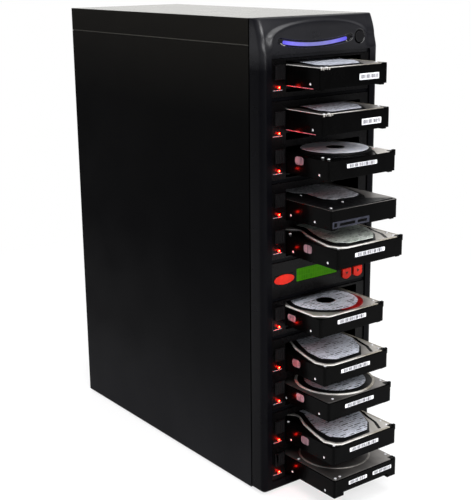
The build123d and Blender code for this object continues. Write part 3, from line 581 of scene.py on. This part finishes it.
def disc(x, y, radius):
    """A circle as an outline."""
    return oval(x, y, radius, radius, 56)


def inset(outline, width):
    """The outline moved inwards by a width, point for point."""
    points = []
    for index, point in enumerate(outline):
        along = Vector(outline[(index + 1) % len(outline)]) - Vector(outline[index - 1])
        along.normalize()
        points.append(tuple(Vector(point) + Vector((-along.y, along.x)) * width))
    return points


def strip_along(points, width):
    """The outline of a strip of even width along a line of points."""
    left, right = [], []
    for index, point in enumerate(points):
        before = Vector(points[max(index - 1, 0)])
        after = Vector(points[min(index + 1, len(points) - 1)])
        along = (after - before).normalized()
        across = Vector((-along.y, along.x)) * width / 2
        left.append(tuple(Vector(point) + across))
        right.append(tuple(Vector(point) - across))
    return left + right[::-1]


def raised(outline, low, high):
    """A solid shape between two heights."""
    work = bmesh.new()
    face = work.faces.new([work.verts.new((x, y, low)) for x, y in outline])
    grown_up = bmesh.ops.extrude_face_region(work, geom=[face])
    tops = [item for item in grown_up["geom"] if isinstance(item, bmesh.types.BMVert)]
    bmesh.ops.translate(work, vec=(0, 0, high - low), verts=tops)
    return work


def raised_band(outer, inner, low, high):
    """A band between two heights and two outlines that have the same number of points."""
    work = bmesh.new()
    loops = [[work.verts.new((x, y, height)) for x, y in outline]
             for outline, height in ((outer, low), (outer, high), (inner, high), (inner, low))]
    for first, second in zip(loops, loops[1:] + loops[:1]):
        for index in range(len(outer)):
            after = (index + 1) % len(outer)
            work.faces.new((first[index], first[after], second[after], second[index]))
    return work


def slab(name, outline, low, high, place, finish, body, edge, hole=None):
    """An outline raised from low to high, or the band between it and a hole of as many points,
    given its place, with softened edges."""
    work = raised_band(outline, hole, low, high) if hole else raised(outline, low, high)
    bmesh.ops.recalc_face_normals(work, faces=work.faces)
    piece = piece_from(name, mesh_of(work, name, place), finish, body)
    if edge:
        soften(piece, edge)
    return piece


def sink_front(work):
    """Sets a front face back by a quarter of a millimetre, to make room for the labels on it."""
    front = min(vert.co.y for vert in work.verts)
    for vert in work.verts:
        if vert.co.y < front + 0.1 * MM:
            vert.co.y += LABEL_ROOM * MM


def softened(node, body, finish, width, below=None):
    """A copy of a CAD node with its sharp edges rounded, which stands for the node.
    With below, only the part under that height in millimetres is kept."""
    work = bmesh.new()
    work.from_mesh(frame["nodes"][node].data)
    bmesh.ops.remove_doubles(work, verts=work.verts, dist=1e-6)
    if below:
        everything = work.verts[:] + work.edges[:] + work.faces[:]
        bmesh.ops.bisect_plane(work, geom=everything, plane_co=spot(0, 0, below), plane_no=(0, 0, 1),
                               clear_outer=True)
    bmesh.ops.dissolve_limit(work, angle_limit=radians(0.4), verts=work.verts, edges=work.edges)
    if node == "drive_10_body":
        sink_front(work)
    name = node + "_rounded"
    piece = piece_from(name, mesh_of(work, name), finish, body)
    soften(piece, width)
    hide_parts(node)
    return piece


# Repeating pieces, made with Geometry Nodes

def start_tree(name, sizes):
    """A tree with a mesh of points going in, named sizes and a finish."""
    tree = bpy.data.node_groups.new(name, "GeometryNodeTree")
    tree.is_modifier = True
    kinds = [("Points", "Geometry"), *[(size, "Float") for size in sizes], ("Finish", "Material")]
    for label, kind in kinds:
        tree.interface.new_socket(label, in_out="INPUT", socket_type="NodeSocket" + kind)
    tree.interface.new_socket("Pieces", in_out="OUTPUT", socket_type="NodeSocketGeometry")
    return tree, add_node(tree, "NodeGroupInput", {}).outputs


def end_tree(tree, entry, unit, turn):
    """Puts the unit on every point, turned, makes it real and gives it the finish."""
    on_points = add_node(tree, "GeometryNodeInstanceOnPoints",
                         {"Points": entry["Points"], "Instance": unit, "Rotation": turn})
    real = add_node(tree, "GeometryNodeRealizeInstances", {"Geometry": on_points.outputs["Instances"]})
    dressed = add_node(tree, "GeometryNodeSetMaterial",
                       {"Geometry": real.outputs["Geometry"], "Material": entry["Finish"]})
    add_node(tree, "NodeGroupOutput", {"Pieces": dressed.outputs["Geometry"]})
    return tree


def screw_tree(name, turn):
    """A low domed head with a hexagonal socket, on every point."""
    tree, entry = start_tree(name, ("Radius", "Height"))
    radius, height = entry["Radius"], entry["Height"]
    head = add_node(tree, "GeometryNodeJoinGeometry", {})
    base = 0.0
    for wide, narrow, share, sides in ((1.0, 0.92, 0.7, 16), (0.92, 0.6, 0.3, 16), (0.42, 0.4, 0.12, 6)):
        step = add_node(tree, "GeometryNodeMeshCone",
                        {"Vertices": sides, "Radius Bottom": product(radius, wide),
                         "Radius Top": product(radius, narrow), "Depth": product(height, share)})
        up = add_node(tree, "ShaderNodeCombineXYZ", {"Z": product(height, base)})
        moved = add_node(tree, "GeometryNodeTransform",
                         {"Geometry": step.outputs["Mesh"], "Translation": up.outputs["Vector"]})
        fill(head, {"Geometry": moved.outputs["Geometry"]})
        base += share
    return end_tree(tree, entry, head.outputs["Geometry"], turn)


def bar_tree(name, corner_share):
    """A flat bar with rounded ends, standing on the front, on every point."""
    tree, entry = start_tree(name, ("Width", "Height", "Thickness"))
    outline = add_node(tree, "GeometryNodeCurvePrimitiveQuadrilateral",
                       {"Width": entry["Width"], "Height": entry["Height"]})
    corners = add_node(tree, "GeometryNodeFilletCurve",
                       {"Curve": outline.outputs["Curve"], "Count": 4,
                        "Radius": product(entry["Height"], corner_share)}, mode="POLY")
    face = add_node(tree, "GeometryNodeFillCurve", {"Curve": corners.outputs["Curve"]}, mode="NGONS")
    thick = add_node(tree, "GeometryNodeExtrudeMesh",
                     {"Mesh": face.outputs["Mesh"], "Individual": False,
                      "Offset Scale": entry["Thickness"]})
    return end_tree(tree, entry, thick.outputs["Mesh"], (pi / 2, 0, 0))


def grown(name, points, tree, sizes, finish, body):
    """Runs a tree on points and keeps its result as one plain mesh piece."""
    seeds = bpy.data.meshes.new(name + "_points")
    seeds.from_pydata([tuple(point) for point in points], [], [])
    holder = add_object(name + "_points", seeds)
    run = holder.modifiers.new("grow", "NODES")
    run.node_group = tree
    values = {"Finish": finish, **{label: size * MM for label, size in sizes.items()}}
    for socket in tree.interface.items_tree:
        if socket.in_out == "INPUT" and socket.name in values:
            run[socket.identifier] = values[socket.name]
    holder.update_tag()
    graph = bpy.context.evaluated_depsgraph_get()
    mesh = bpy.data.meshes.new_from_object(holder.evaluated_get(graph))
    bpy.data.objects.remove(holder)
    mesh.name = name
    shade(mesh)
    piece_from(name, mesh, finish, body)


# Case

ROUNDING = {"front_bezel": 0.7, "control_panel": 0.35, "power_button": 0.6, "rear_panel": 0.2,
            "power_rocker": 0.4, "exhaust_fan_frame": 0.4, "rubber_feet": 0.5}
for rounding, nodes in ((0.25, ("top_cover", "left_side_panel", "right_side_panel")),
                        (0.35, ("single_rack_1", "double_rack_2_3", "double_rack_4_5", "single_rack_6",
                                "double_rack_7_8", "double_rack_9_10")),
                        (0.5, ("key_up", "key_down", "key_enter", "key_escape")),
                        (0.3, [f"eject_pull_{bay:02d}" for bay in BAYS]),
                        (0.5, [f"drive_{bay:02d}_body" for bay in BAYS])):
    ROUNDING.update(dict.fromkeys(nodes, rounding))
BODY_OF = {node: body for body, members in frame["record"]["behaviour"]["bodies"].items()
           for node in members}


def dress_case():
    """Gives every CAD node its finish and rounds the edges that are seen closely."""
    for node, thing in frame["nodes"].items():
        slot = thing.data.materials[0].name
        finish = FINISH["rack_plastic"] if node == "control_panel" else FINISH[slot.split(".")[0]]
        if node in ROUNDING:
            below = OPENING_TOP if node == "front_bezel" else None
            softened(node, BODY_OF[node], finish, ROUNDING[node], below)
        else:
            for holder in thing.material_slots:
                holder.material = finish


def shine_top():
    """Gives the flat of the top cover its own paint, which shines at a low angle."""
    cover = bpy.data.objects["top_cover_rounded"]
    cover.data.materials.append(TOP_PAINT)
    for face in cover.data.polygons:
        if face.normal.z > 0.9:
            face.material_index = 1


def smooth_step(value, start, end):
    """Rises smoothly from 0 at start to 1 at end."""
    t = min(1.0, max(0.0, (value - start) / (end - start)))
    return t * t * (3 - 2 * t)


def brow_line(x):
    """Height of the arch over the light bar."""
    return BROW_MIDDLE_Z - (BROW_MIDDLE_Z - BROW_END_Z) * (x / CASE_HALF) ** 2


def from_light(x, z):
    """How far a point lies from the curved middle line of the light bar's recess."""
    middle = LIGHT_MIDDLE_Z + LIGHT_LIFT * ((x - LIGHT_MIDDLE_X) / LIGHT_HALF) ** 2
    past = max(0.0, abs(x - LIGHT_MIDDLE_X) - LIGHT_HALF - LIGHT_EXTRA)
    return hypot(past, z - middle)


def from_button(x, z):
    """How far a point lies from the middle of the power button."""
    return hypot(x - BUTTON_X, z - BUTTON_Z)


def beyond_visor(x, z):
    """How far a point lies outside the eye-shaped visor, in millimetres."""
    across = abs(x - VISOR_MIDDLE_X)
    up = max(0.0, z - VISOR_MIDDLE_Z)
    share = (across / VISOR_HALF) ** VISOR_BLUNT + (up / VISOR_RISE) ** VISOR_BLUNT
    reach = max(0.05, share ** (1 / VISOR_BLUNT))
    return hypot(across, up) * (1 - 1 / reach)


def brow_depth(x, z):
    """How far the brow's face lies behind the bezel's front, in millimetres."""
    over = z - brow_line(x)
    soft = BROW_CREST + BROW_END_ROUND * (x / CASE_HALF) ** 2
    back = BROW_LEAN * (hypot(max(0.0, over), soft) - soft)
    to_end = min(1.0, abs(x - VISOR_MIDDLE_X) / VISOR_HALF) ** 3
    step = VISOR_STEP + (VISOR_END_STEP - VISOR_STEP) * to_end
    outside = smooth_step(beyond_visor(x, z), -2 - 9 * to_end, 3)
    back += step * outside * smooth_step(z, OPENING_TOP + 0.5, OPENING_TOP + 18)
    back += LIGHT_SINK * smooth_step(LIGHT_RECESS / 2 + 0.4 - from_light(x, z), 0, 0.9)
    back += BUTTON_SINK * smooth_step(BUTTON_RING + 0.3 - from_button(x, z), 0, 0.8)
    back += BUTTON_BORE * smooth_step(BUTTON_BORE_RADIUS + 0.2 - from_button(x, z), 0, 0.5)
    return back


def brow_rim():
    """The bezel's outline seen from above, from its left rear corner round to the right one."""
    side = [(-CASE_HALF, BEZEL_DEPTH - step * 2.2) for step in range(8)]
    turns = [radians(90 * step / 12) for step in range(13)]
    corner = [(-CASE_HALF + BEZEL_CORNER * (1 - cos(turn)), BEZEL_CORNER * (1 - sin(turn)))
              for turn in turns]
    inner = CASE_HALF - BEZEL_CORNER
    count = round(2 * inner / RIM_STEP)
    front = [(-inner + 2 * inner * step / count, 0.0) for step in range(1, count)]
    return side + corner + front + [(-x, y) for x, y in reversed(side + corner)]


def brow_row(work, z):
    """One row of points round the brow at a height."""
    lip = max(0.0, z - CASE_TOP + BROW_LIP)
    pull = BROW_LIP - (BROW_LIP ** 2 - lip ** 2) ** 0.5
    return [work.verts.new(spot(x, min(y + (brow_depth(x, z) + pull), BEZEL_DEPTH), z))
            for x, y in brow_rim()]


def brow():
    """The bezel's brow: leaning top, arched hollow, and the recesses of light bar and button."""
    count = round((CASE_TOP - OPENING_TOP) / ROW_STEP)
    work = bmesh.new()
    rows = [brow_row(work, OPENING_TOP + (CASE_TOP - OPENING_TOP) * step / count)
            for step in range(count + 1)]
    for low, high in zip(rows, rows[1:]):
        for index in range(len(low) - 1):
            work.faces.new((low[index], low[index + 1], high[index + 1], high[index]))
    work.faces.new(rows[0])
    work.faces.new(rows[-1])
    work.faces.new([row[0] for row in rows] + [row[-1] for row in reversed(rows)])
    bmesh.ops.remove_doubles(work, verts=work.verts, dist=1e-6)
    bmesh.ops.recalc_face_normals(work, faces=work.faces)
    mesh = mesh_of(work, "bezel_brow", limit=60)
    piece = piece_from("bezel_brow", mesh, FINISH["bezel_plastic"], "case")
    # Painted shade: the faces in the recesses of the light bar and the button get the darker black.
    mesh.materials.append(RECESS_PAINTED_SHADE)
    for face in mesh.polygons:
        at = face.center / MM - spot(0, 0, 0) / MM
        sunk = from_light(at.x, at.z) < LIGHT_RECESS / 2 or from_button(at.x, at.z) < BUTTON_RING
        if at.y < BEZEL_DEPTH / 2 and sunk:
            face.material_index = 1


def front_marks():
    """The white bar under each lamp, the lamps' cores, silver slivers as painted glints beside the light
    bar, and the badge.
    """
    marks = [spot(MARK_X, FACE_Y, lamp_height(bay) - MARK_DROP) for bay in BAYS]
    grown("bay_marks", marks, bar_tree("bay_mark_bars", 0.35),
          {"Width": 13.5, "Height": 0.9, "Thickness": 0.15}, MARK_WHITE, "case")
    cores = [spot(LAMP_X, LAMP_FRONT, lamp_height(bay)) for bay in BAYS]
    grown("lamp_cores", cores, screw_tree("lamp_core_domes", (pi / 2, 0, 0)), {"Radius": 1.0, "Height": 0.5},
          LAMP_CORE, "case")
    # Painted highlights: small silver slivers at the ends of the light bar's recess stand for the glints
    # seen there.
    for side, points in (("left", [(-60.5, 540.0), (-57.5, 538.2), (-54.5, 537.6)]),
                         ("right", [(37.5, 538.6), (40.5, 536.4), (44.0, 537.6)])):
        slab("recess_glint_" + side, strip_along(points, 1.0), -2.3, -1.2, upright(spot(0, 0, 0)), SILVER,
             "case", 0.2)
    middle = spot(BADGE_X, FACE_Y - BADGE_BACK, BAY_BOTTOM + PANEL_ROW * BAY_PITCH + BADGE_RISE)
    slab("red_badge", oval(0, 0, BADGE_HALF_WIDTH, BADGE_HALF_HEIGHT, 64), -0.3, 0.5, upright(middle),
         BADGE_RED, "case", 0.45)


def key_signs():
    """An arrow on three keys and a square on the fourth."""
    arrow = [(-2.6, -1.4), (2.6, -1.4), (0.0, 2.6)]
    shapes = {"key_up": arrow, "key_down": [(x, -y) for x, y in arrow],
              "key_enter": [(-1.6, -2.6), (2.6, 0.0), (-1.6, 2.6)],
              "key_escape": [(-2, -2), (2, -2), (2, 2), (-2, 2)]}
    for node, corners in shapes.items():
        low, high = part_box(node)
        middle = Vector(((low.x + high.x) / 2, low.y, high.z - 6.2 * MM))
        slab(node + "_sign", rounded(corners, 0.4), -0.05, 0.12, upright(middle), KEY_PRINT, node, 0)


# Drives

BLACK = FINISH["drive_casting"]

# The edges of the covers' bright plates, by bay or by the cover's style. Here and in the next
# three tables the drive that stands in backwards is measured from its outer end.
PLATES = {
    "flat": oblong(-49.6, 49.6, 1.2, 146, 4),
    "faceted": rounded([(-47, 146), (-46, 116), (-34, 108), (-26, 98), (-26, 91), (-36, 71), (-44, 42),
                        (-49, 20), (-44, 6), (-36, 1.2), (46, 1.2), (49.6, 5), (49.6, 146)], 4),
    3: rounded([(20, 1.2), (46, 1.2), (49.6, 5), (49.6, 146), (30, 146), (44, 84), (47, 54), (39, 30),
                (30, 14)], 3),
    6: rounded([(-49.6, 146), (-49.6, 14), (-36, 1.2), (46, 1.2), (49.6, 5), (49.6, 146)], 4),
    "turned": rounded([(22, 24), (49.6, 4), (49.6, 146), (40, 146), (42, 70), (32, 36)], 3),
}
# The edges of the black bands round the covers' labels
SEALS = {
    "flat": rounded([(-33, 134), (-33, 56), (-42, 22), (-34, 4.5), (18, 4.5), (36, 32), (36, 60), (40, 84),
                     (40, 134)], 5),
    "faceted": rounded([(-22, 132), (-22, 96), (-32, 71), (-40, 44), (-44, 22), (-39, 9.5), (-31, 5.5),
                        (12, 5.5), (16, 10), (31, 26.5), (42.5, 50.5), (45, 90), (45, 132)], 4),
    3: disc(7, 56, 43),
    6: disc(-0.5, 51, 45.5),
    8: disc(4, 51, 45.5),
    "dish": disc(0, 57, 42),
    "turned": rounded([(-49.6, 1.2), (22, 1.2), (49.6, 3), (22, 23), (30, 36), (40, 70), (38, 146),
                       (-49.6, 146)], 3),
}
# The edges of the covers' printed labels
LABELS = {
    "flat": rounded([(-29, 130), (-29, 56), (-38, 22), (-30, 8.5), (15, 8.5), (32, 34), (32, 60), (36, 84),
                     (36, 130)], 4),
    "faceted": rounded([(-16, 130), (-16, 94), (-27, 68), (-34, 48), (-36, 24), (-23, 11), (13, 11),
                        (29, 27), (41, 51), (43, 90), (43, 130)], 3),
    3: disc(7, 56, 39.5),
    6: disc(-0.5, 50.5, 40.5),
    8: disc(4, 50.5, 37.5),
    "turned": rounded([(-30, 112), (-29, 90), (-19, 82), (-24, 47), (-16, 34), (16, 32), (28, 40), (37, 80),
                       (38, 112)], 7),
}
# Where the covers' screws stand
SCREWS = {
    "flat": [(-45.5, 5), (-38, 5.5), (-46.5, 70), (45.5, 14), (46, 76), (-45, 141), (45, 141)],
    "faceted": [(-45, 89), (45.5, 22), (43, 9), (-46, 5), (-45, 141), (44.5, 141)],
    3: [(-47, 96), (-44, 19), (-45, 8), (45, 30), (-45, 141), (44.5, 141)],
    "round": [(-46, 92), (-38, 8), (45.5, 14), (45.5, 96), (-45, 141), (44.5, 141)],
    "turned": [(-27, 80), (-13, 24), (30, 100), (-45, 8), (-45, 141), (45, 141)],
}
LABEL_FINISH = {1: FIRST_LABEL, 3: DISC_LABEL, 4: GREY_LABEL, 5: GREEN_LABEL}
HUBS = {3: (9.5, 57.5, 11.0), 6: (-1.0, 47.5, 11.5)}
GROOVE = [(48.6, 76), (47.4, 58), (41.3, 40), (37.5, 22.5), (29, 6)]
# The ends of the drives' labels across and up, and of the side seals up
END_LABELS = {1: [(7, 37, 8, 15)], 2: [(7, 37, 8, 15)], 3: [(-25, 21, 13.4, 18)], 4: [],
              6: [(-24, 21, 13, 18)], 10: [(-28, 1.5, 13, 17.6), (11, 42, 13, 17.6)]}
PLAIN_END_LABEL = [(-25, 21, 12, 16.8)]
SIDE_SEALS = {3: (13, 22.4), 6: (9, 17), **dict.fromkeys((5, 7, 8, 9), (10.5, 20))}
CHIPS = {1: (-49.2, -46.4, -43.6, -41.2, -37.9), 2: (-49.0, -45.6, -42.1, -40.0, -36.8)}
BAR_STEPS = (1.3, 1.9, 1.5, 1.2, 2.0, 1.4, 1.7)


def by_cover(table, bay):
    """A drive's entry in a table: its own, or that of its cover's style, or the flat cover's."""
    return table.get(bay, table.get(COVER_STYLE[bay], table["flat"]))


def on_drive(bay, part, outline, low, high, finish, edge, hole=None, place=None):
    """A slab that rides on a drive, in its cover's frame unless another place is given."""
    body = f"drive_{bay:02d}"
    return slab(f"{body}_{part}", outline, low, high, place or cover_frame(bay), finish, body, edge, hole)


def drive_top(bay, screws):
    """A drive's cover: black shoulder, bright plate, black band, label and screws."""
    style = COVER_STYLE[bay]
    metal = SILVER if style == "faceted" or bay in (3, 6) else DARK_DECK
    shoulder = oblong(-49.8, 49.8, 1.0, COVER_END, 3)
    on_drive(bay, "shoulder", shoulder, CASTING_TOP, CASTING_TOP + 0.5, BLACK, 0.2)
    plate = on_drive(bay, "plate", by_cover(PLATES, bay), CASTING_TOP + 0.3, PLATE_TOP, metal, 1.0)
    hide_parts(f"drive_{bay:02d}_cover")
    band = metal if style == "dish" else SEAL_RUBBER
    on_drive(bay, "seal", by_cover(SEALS, bay), CASTING_TOP + 0.3, PLATE_TOP + 0.15, band, 0.1)
    if style == "dish":
        on_drive(bay, "dish_rim", disc(0, 57, 44), PLATE_TOP - 0.1, PLATE_TOP + 0.7, SILVER, 0.3,
                 disc(0, 57, 41.5))
    else:
        label = by_cover(LABELS, bay)
        on_drive(bay, "label_bed", label, PLATE_TOP, LABEL_TOP - 0.12, SEAL_RUBBER, 0.2)
        on_drive(bay, "label", label, LABEL_TOP - 0.12, LABEL_TOP, LABEL_FINISH.get(bay, COVER_LABEL), 0.05)
    points = [cover_frame(bay) @ Vector((x, y, PLATE_TOP - 0.1)) for x, y in by_cover(SCREWS, bay)]
    grown(f"drive_{bay:02d}_cover_screws", points, screws, {"Radius": 1.7, "Height": 0.9}, SCREW_STEEL,
          f"drive_{bay:02d}")


def cover_details(bay):
    """The hub, groove, rims, patches and bright edges that only some drives have; the rims and edge lines
    are partly painted highlights, and the red strip on the flat drives' sides is painted lamp light.
    """
    style = COVER_STYLE[bay]
    if bay in HUBS:
        on_drive(bay, "hub", disc(*HUBS[bay]), LABEL_TOP - 0.1, LABEL_TOP, SEAL_RUBBER, 0.03)
    if style == "faceted":
        on_drive(bay, "groove", strip_along(GROOVE, 3.8), PLATE_TOP - 0.2, PLATE_TOP + 0.12, BLACK, 0)
    if style == "flat":
        edge_line(bay, 1.0, PLATE_TOP - 0.2, PAINTED_RIM_HIGHLIGHT)
        # Painted light: a pinkish strip for the status lamp's red glow on the side.
        on_drive(bay, "lit_edge", oblong(1.2, 2.0, 12, 74, 0.3), DRIVE_HALF - 0.2, DRIVE_HALF + 0.06,
                 RED_GLOW_PAINT, 0, place=drive_frame(bay) @ TO_LEFT)
        corner_chips(bay)
    if bay == REVERSED_BAY:
        edge_line(bay, 0.0, CASTING_TOP + 0.2, DARK_DECK)
    if style == "faceted" or bay == 6:
        # Painted highlight: a near-white rim round the plate.
        edge = by_cover(PLATES, bay)
        on_drive(bay, "painted_highlight_rim", inset(edge, -0.1), PLATE_TOP - 0.9, PLATE_TOP + 0.3, PAINTED_RIM_HIGHLIGHT, 0.4,
                 inset(edge, 2.4))
    if bay == 6:
        on_drive(bay, "red_patch", disc(8.0, 40.0, 33.5), PLATE_TOP, LABEL_TOP - 0.2, CRESCENT_RED, 0.05)
    if bay == 8:
        # Painted highlight: the bright ring round the dish.
        on_drive(bay, "rim", disc(4, 51, 48.8), PLATE_TOP - 0.1, PLATE_TOP + 0.9, PAINTED_RIM_HIGHLIGHT, 0.4,
                 disc(4, 51, 45.4))
        on_drive(bay, "deck_dimple", disc(40.5, 22, 7), PLATE_TOP - 0.1, PLATE_TOP + 0.06, DARK_DECK, 0.03)
    if style in ("faceted", "round"):
        on_drive(bay, "corner_tab", oblong(46.4, 50.7, 0.2, 4.0, 1.2), CASTING_TOP - 4, LABEL_TOP, BLACK,
                 0.4)


def corner_chips(bay):
    """Small bright silver specks under the edge line at the left front corner."""
    for index, x in enumerate(CHIPS[bay]):
        size = 0.6 + 0.3 * ((index + bay) % 3)
        low = CASTING_TOP - 0.8 * size
        chip = rounded([(x - 0.6 * size, low), (x + 0.8 * size, low + 0.3), (x + size, PLATE_TOP),
                        (x - size, PLATE_TOP)], 0.25)
        on_drive(bay, f"corner_chip_{index}", chip, -0.8, 0.1, SILVER, 0, place=drive_frame(bay) @ TO_FRONT)


def edge_line(bay, back, low, finish):
    """A bright line round the edge of a cover, partly wear and partly a painted highlight where the edge
    catches light.
    """
    outer = oblong(-50.6 + back, 50.6 - back, 0.3 + back, COVER_END, 3)
    on_drive(bay, "edge_line", outer, low, low + 0.5, finish, 0.15, inset(outer, 1.1))


def plug_end(bay):
    """The blue-grey plug with its black slots in the end of the drive that stands in backwards."""
    place = cover_frame(bay) @ TO_FRONT
    on_drive(bay, "plug_face", oblong(-49.5, 6, 3.2, 10.8, 0.6), -2.0, 0.5, PLUG_GREY, 0.25, place=place)
    for index, (x0, x1, z0, z1) in enumerate(((-47.5, -43.5, 5, 9.4), (-39, -16, 5.4, 8.4),
                                              (-12, 2, 5.4, 8.4))):
        on_drive(bay, f"plug_slot_{index}", oblong(x0, x1, z0, z1, 0.4), 0.3, 0.62, BLACK, 0, place=place)


def label_bars(name, bay, x0, x1, z0, z1, place):
    """Plain upright bars, some wide and some narrow, in the middle of an end label."""
    wide, narrow = [], []
    x = x0 + 0.09 * (x1 - x0)
    step = 0
    while x < x1 - 0.07 * (x1 - x0):
        (wide if step % 5 in (1, 2) else narrow).append(place @ Vector((x, -0.11, (z0 + z1) / 2)))
        x += BAR_STEPS[step % 7]
        step += 1
    tall = 0.62 * (z1 - z0) if z1 - z0 > 6 else 0.8 * (z1 - z0)
    for kind, points, width in (("wide", wide, 1.2), ("narrow", narrow, 0.7)):
        grown(f"{name}_{kind}_bars", points, UPRIGHT_BARS,
              {"Width": width, "Height": tall, "Thickness": 0.05}, LABEL_INK, f"drive_{bay:02d}")


def drive_labels(bay):
    """The end labels and the side seal of one drive."""
    place = drive_frame(bay)
    if bay == 10:
        place = place @ Matrix.Translation((0, LABEL_ROOM, 0))
    for index, (x0, x1, z0, z1) in enumerate(END_LABELS.get(bay, PLAIN_END_LABEL)):
        on_drive(bay, f"end_label_{index}", oblong(x0, x1, z0, z1, 0.8), -0.2, 0.06, END_LABEL, 0,
                 place=place @ TO_FRONT)
        label_bars(f"drive_{bay:02d}_{index}", bay, x0, x1, z0, z1, place)
    if bay in SIDE_SEALS:
        on_drive(bay, "side_seal", oblong(*SIDE_SEALS[bay], 43.5, 58, 4.4), DRIVE_HALF, DRIVE_HALF + 0.1,
                 SIDE_SEAL, 0, place=place @ TO_LEFT)


def side_hole_glints(bay, screws):
    """Bright screw heads in a drive's left side holes, as painted highlights for the glints on the holes'
    rims.
    """
    side, sunk = (DRIVE_HALF, -0.6) if bay == REVERSED_BAY else (-DRIVE_HALF, 0.6)
    points = [drive_frame(bay) @ Vector((side + sunk, y, 6.35)) for y in (16.9, 76.9, 118.5)]
    grown(f"drive_{bay:02d}_side_hole_glints", points, screws, {"Radius": 1.5, "Height": 0.8}, SCREW_STEEL,
          f"drive_{bay:02d}")


dress_case()
shine_top()
brow()
front_marks()
key_signs()
UPRIGHT_SCREWS = screw_tree("cover_screw_heads", (0, 0, 0))
# Painted highlights: domed heads that stand for the glints in the drives' side holes.
SIDE_GLINT_HEADS = screw_tree("side_glint_heads", (0, -pi / 2, 0))
UPRIGHT_BARS = bar_tree("label_bar_strips", 0.05)
for bay in BAYS:
    drive_top(bay, UPRIGHT_SCREWS)
    cover_details(bay)
    drive_labels(bay)
    side_hole_glints(bay, SIDE_GLINT_HEADS)
plug_end(REVERSED_BAY)


# Studio

def set_camera():
    """The camera, found from the case's own corners in the photograph."""
    across = Vector((0.79757, -0.60314, -0.01037))
    up = Vector((0.16702, 0.20427, 0.96456))
    look = Vector((0.57965, 0.77103, -0.26365))
    data = bpy.data.cameras.new("camera")
    data.lens = 76.06
    data.sensor_width = 36.0
    data.clip_end = 60.0
    camera = add_object("camera", data)
    turn = Matrix((across, up, -look)).transposed().to_4x4()
    camera.matrix_world = Matrix.Translation((-0.8135, -1.08345, 0.6313)) @ turn
    bpy.context.scene.camera = camera


def soft_box(name, place, aim, width, height, power, colour=(1, 1, 1)):
    """A wide studio lamp that points at a place."""
    data = bpy.data.lights.new(name, "AREA")
    data.shape = "RECTANGLE"
    data.size, data.size_y = width, height
    data.energy = power
    data.color = colour
    lamp = add_object(name, data)
    lamp.location = place
    lamp.rotation_euler = (Vector(aim) - Vector(place)).to_track_quat("-Z", "Y").to_euler()


def lamp_glow():
    """The red light that each status lamp throws on the plastic round it."""
    for bay in BAYS:
        data = bpy.data.lights.new(f"lamp_glow_{bay:02d}", "POINT")
        data.energy = 0.009
        data.color = (1.0, 0.012, 0.006)
        data.shadow_soft_size = 0.0011
        add_object(data.name, data).location = spot(LAMP_X, LAMP_FRONT - 1.8, lamp_height(bay))


def mixed_light(tree, share, first, second):
    """Two lights or surfaces mixed, with this share of the second."""
    return add_node(tree, "ShaderNodeMixShader", {"Fac": share, 1: first, 2: second}).outputs["Shader"]


def set_world():
    """White behind the object, and a grey light from all round that is paler from above."""
    world = bpy.data.worlds.new("studio_world")
    bpy.context.scene.world = world
    world.use_nodes = True
    tree = world.node_tree
    tree.nodes.clear()
    way = add_node(tree, "ShaderNodeTexCoord", {}).outputs["Generated"]
    sky = shades(axes_of(way)["Z"], (0.1, (0.10, 0.10, 0.11, 1)), (0.75, (0.8, 0.8, 0.82, 1)))
    around, behind = [add_node(tree, "ShaderNodeBackground", {"Color": colour}).outputs["Background"]
                      for colour in (sky, grey(1))]
    seen = add_node(tree, "ShaderNodeLightPath", {}).outputs["Is Camera Ray"]
    add_node(tree, "ShaderNodeOutputWorld", {"Surface": mixed_light(tree, seen, around, behind)})


def lay_floor():
    """A pale floor that keeps the object's shadow, and further off shows white to the camera."""
    work = bmesh.new()
    bmesh.ops.create_grid(work, x_segments=8, y_segments=8, size=8)
    floor = add_object("studio_floor", mesh_of(work, "studio_floor"))
    finish, shader, where = new_finish("pale_floor")
    tree = finish.node_tree
    fill(shader, {"Roughness": 0.9, "Specular IOR Level": 0.1,
                  "Base Color": shades(cloud(where, 300, 2), (0.3, grey(0.86)), (0.7, grey(0.9)))})
    away = add_node(tree, "ShaderNodeVectorMath", {0: where}, operation="LENGTH").outputs["Value"]
    seen = add_node(tree, "ShaderNodeLightPath", {}).outputs["Is Camera Ray"]
    plain = add_node(tree, "ShaderNodeEmission", {"Strength": 1.0}).outputs["Emission"]
    share = product(seen, spread(away, 0.72, 1.0, 0.4, 1.1))
    fill(tree.nodes["Material Output"],
         {"Surface": mixed_light(tree, share, shader.outputs["BSDF"], plain)})
    floor.data.materials.append(finish)


bpy.context.scene.view_settings.view_transform = "Standard"
set_camera()
set_world()
lay_floor()
soft_box("overhead", (-0.1, -0.3, 2.1), (0, 0, 0.3), 2.2, 2.2, 52)
soft_box("behind", (1.2, 1.6, 1.0), (0, 0, 0.57), 2.8, 0.9, 6, (1.0, 0.99, 0.94))
soft_box("front_left", (-0.78, -2.25, 1.9), (0, -0.2, 0.35), 1.3, 1.0, 45)
soft_box("brow_light", (-0.16, -2.6, 0.7), (-0.07, -0.17, 0.55), 0.5, 0.5, 11)
lamp_glow()

bpy.context.view_layer.update()
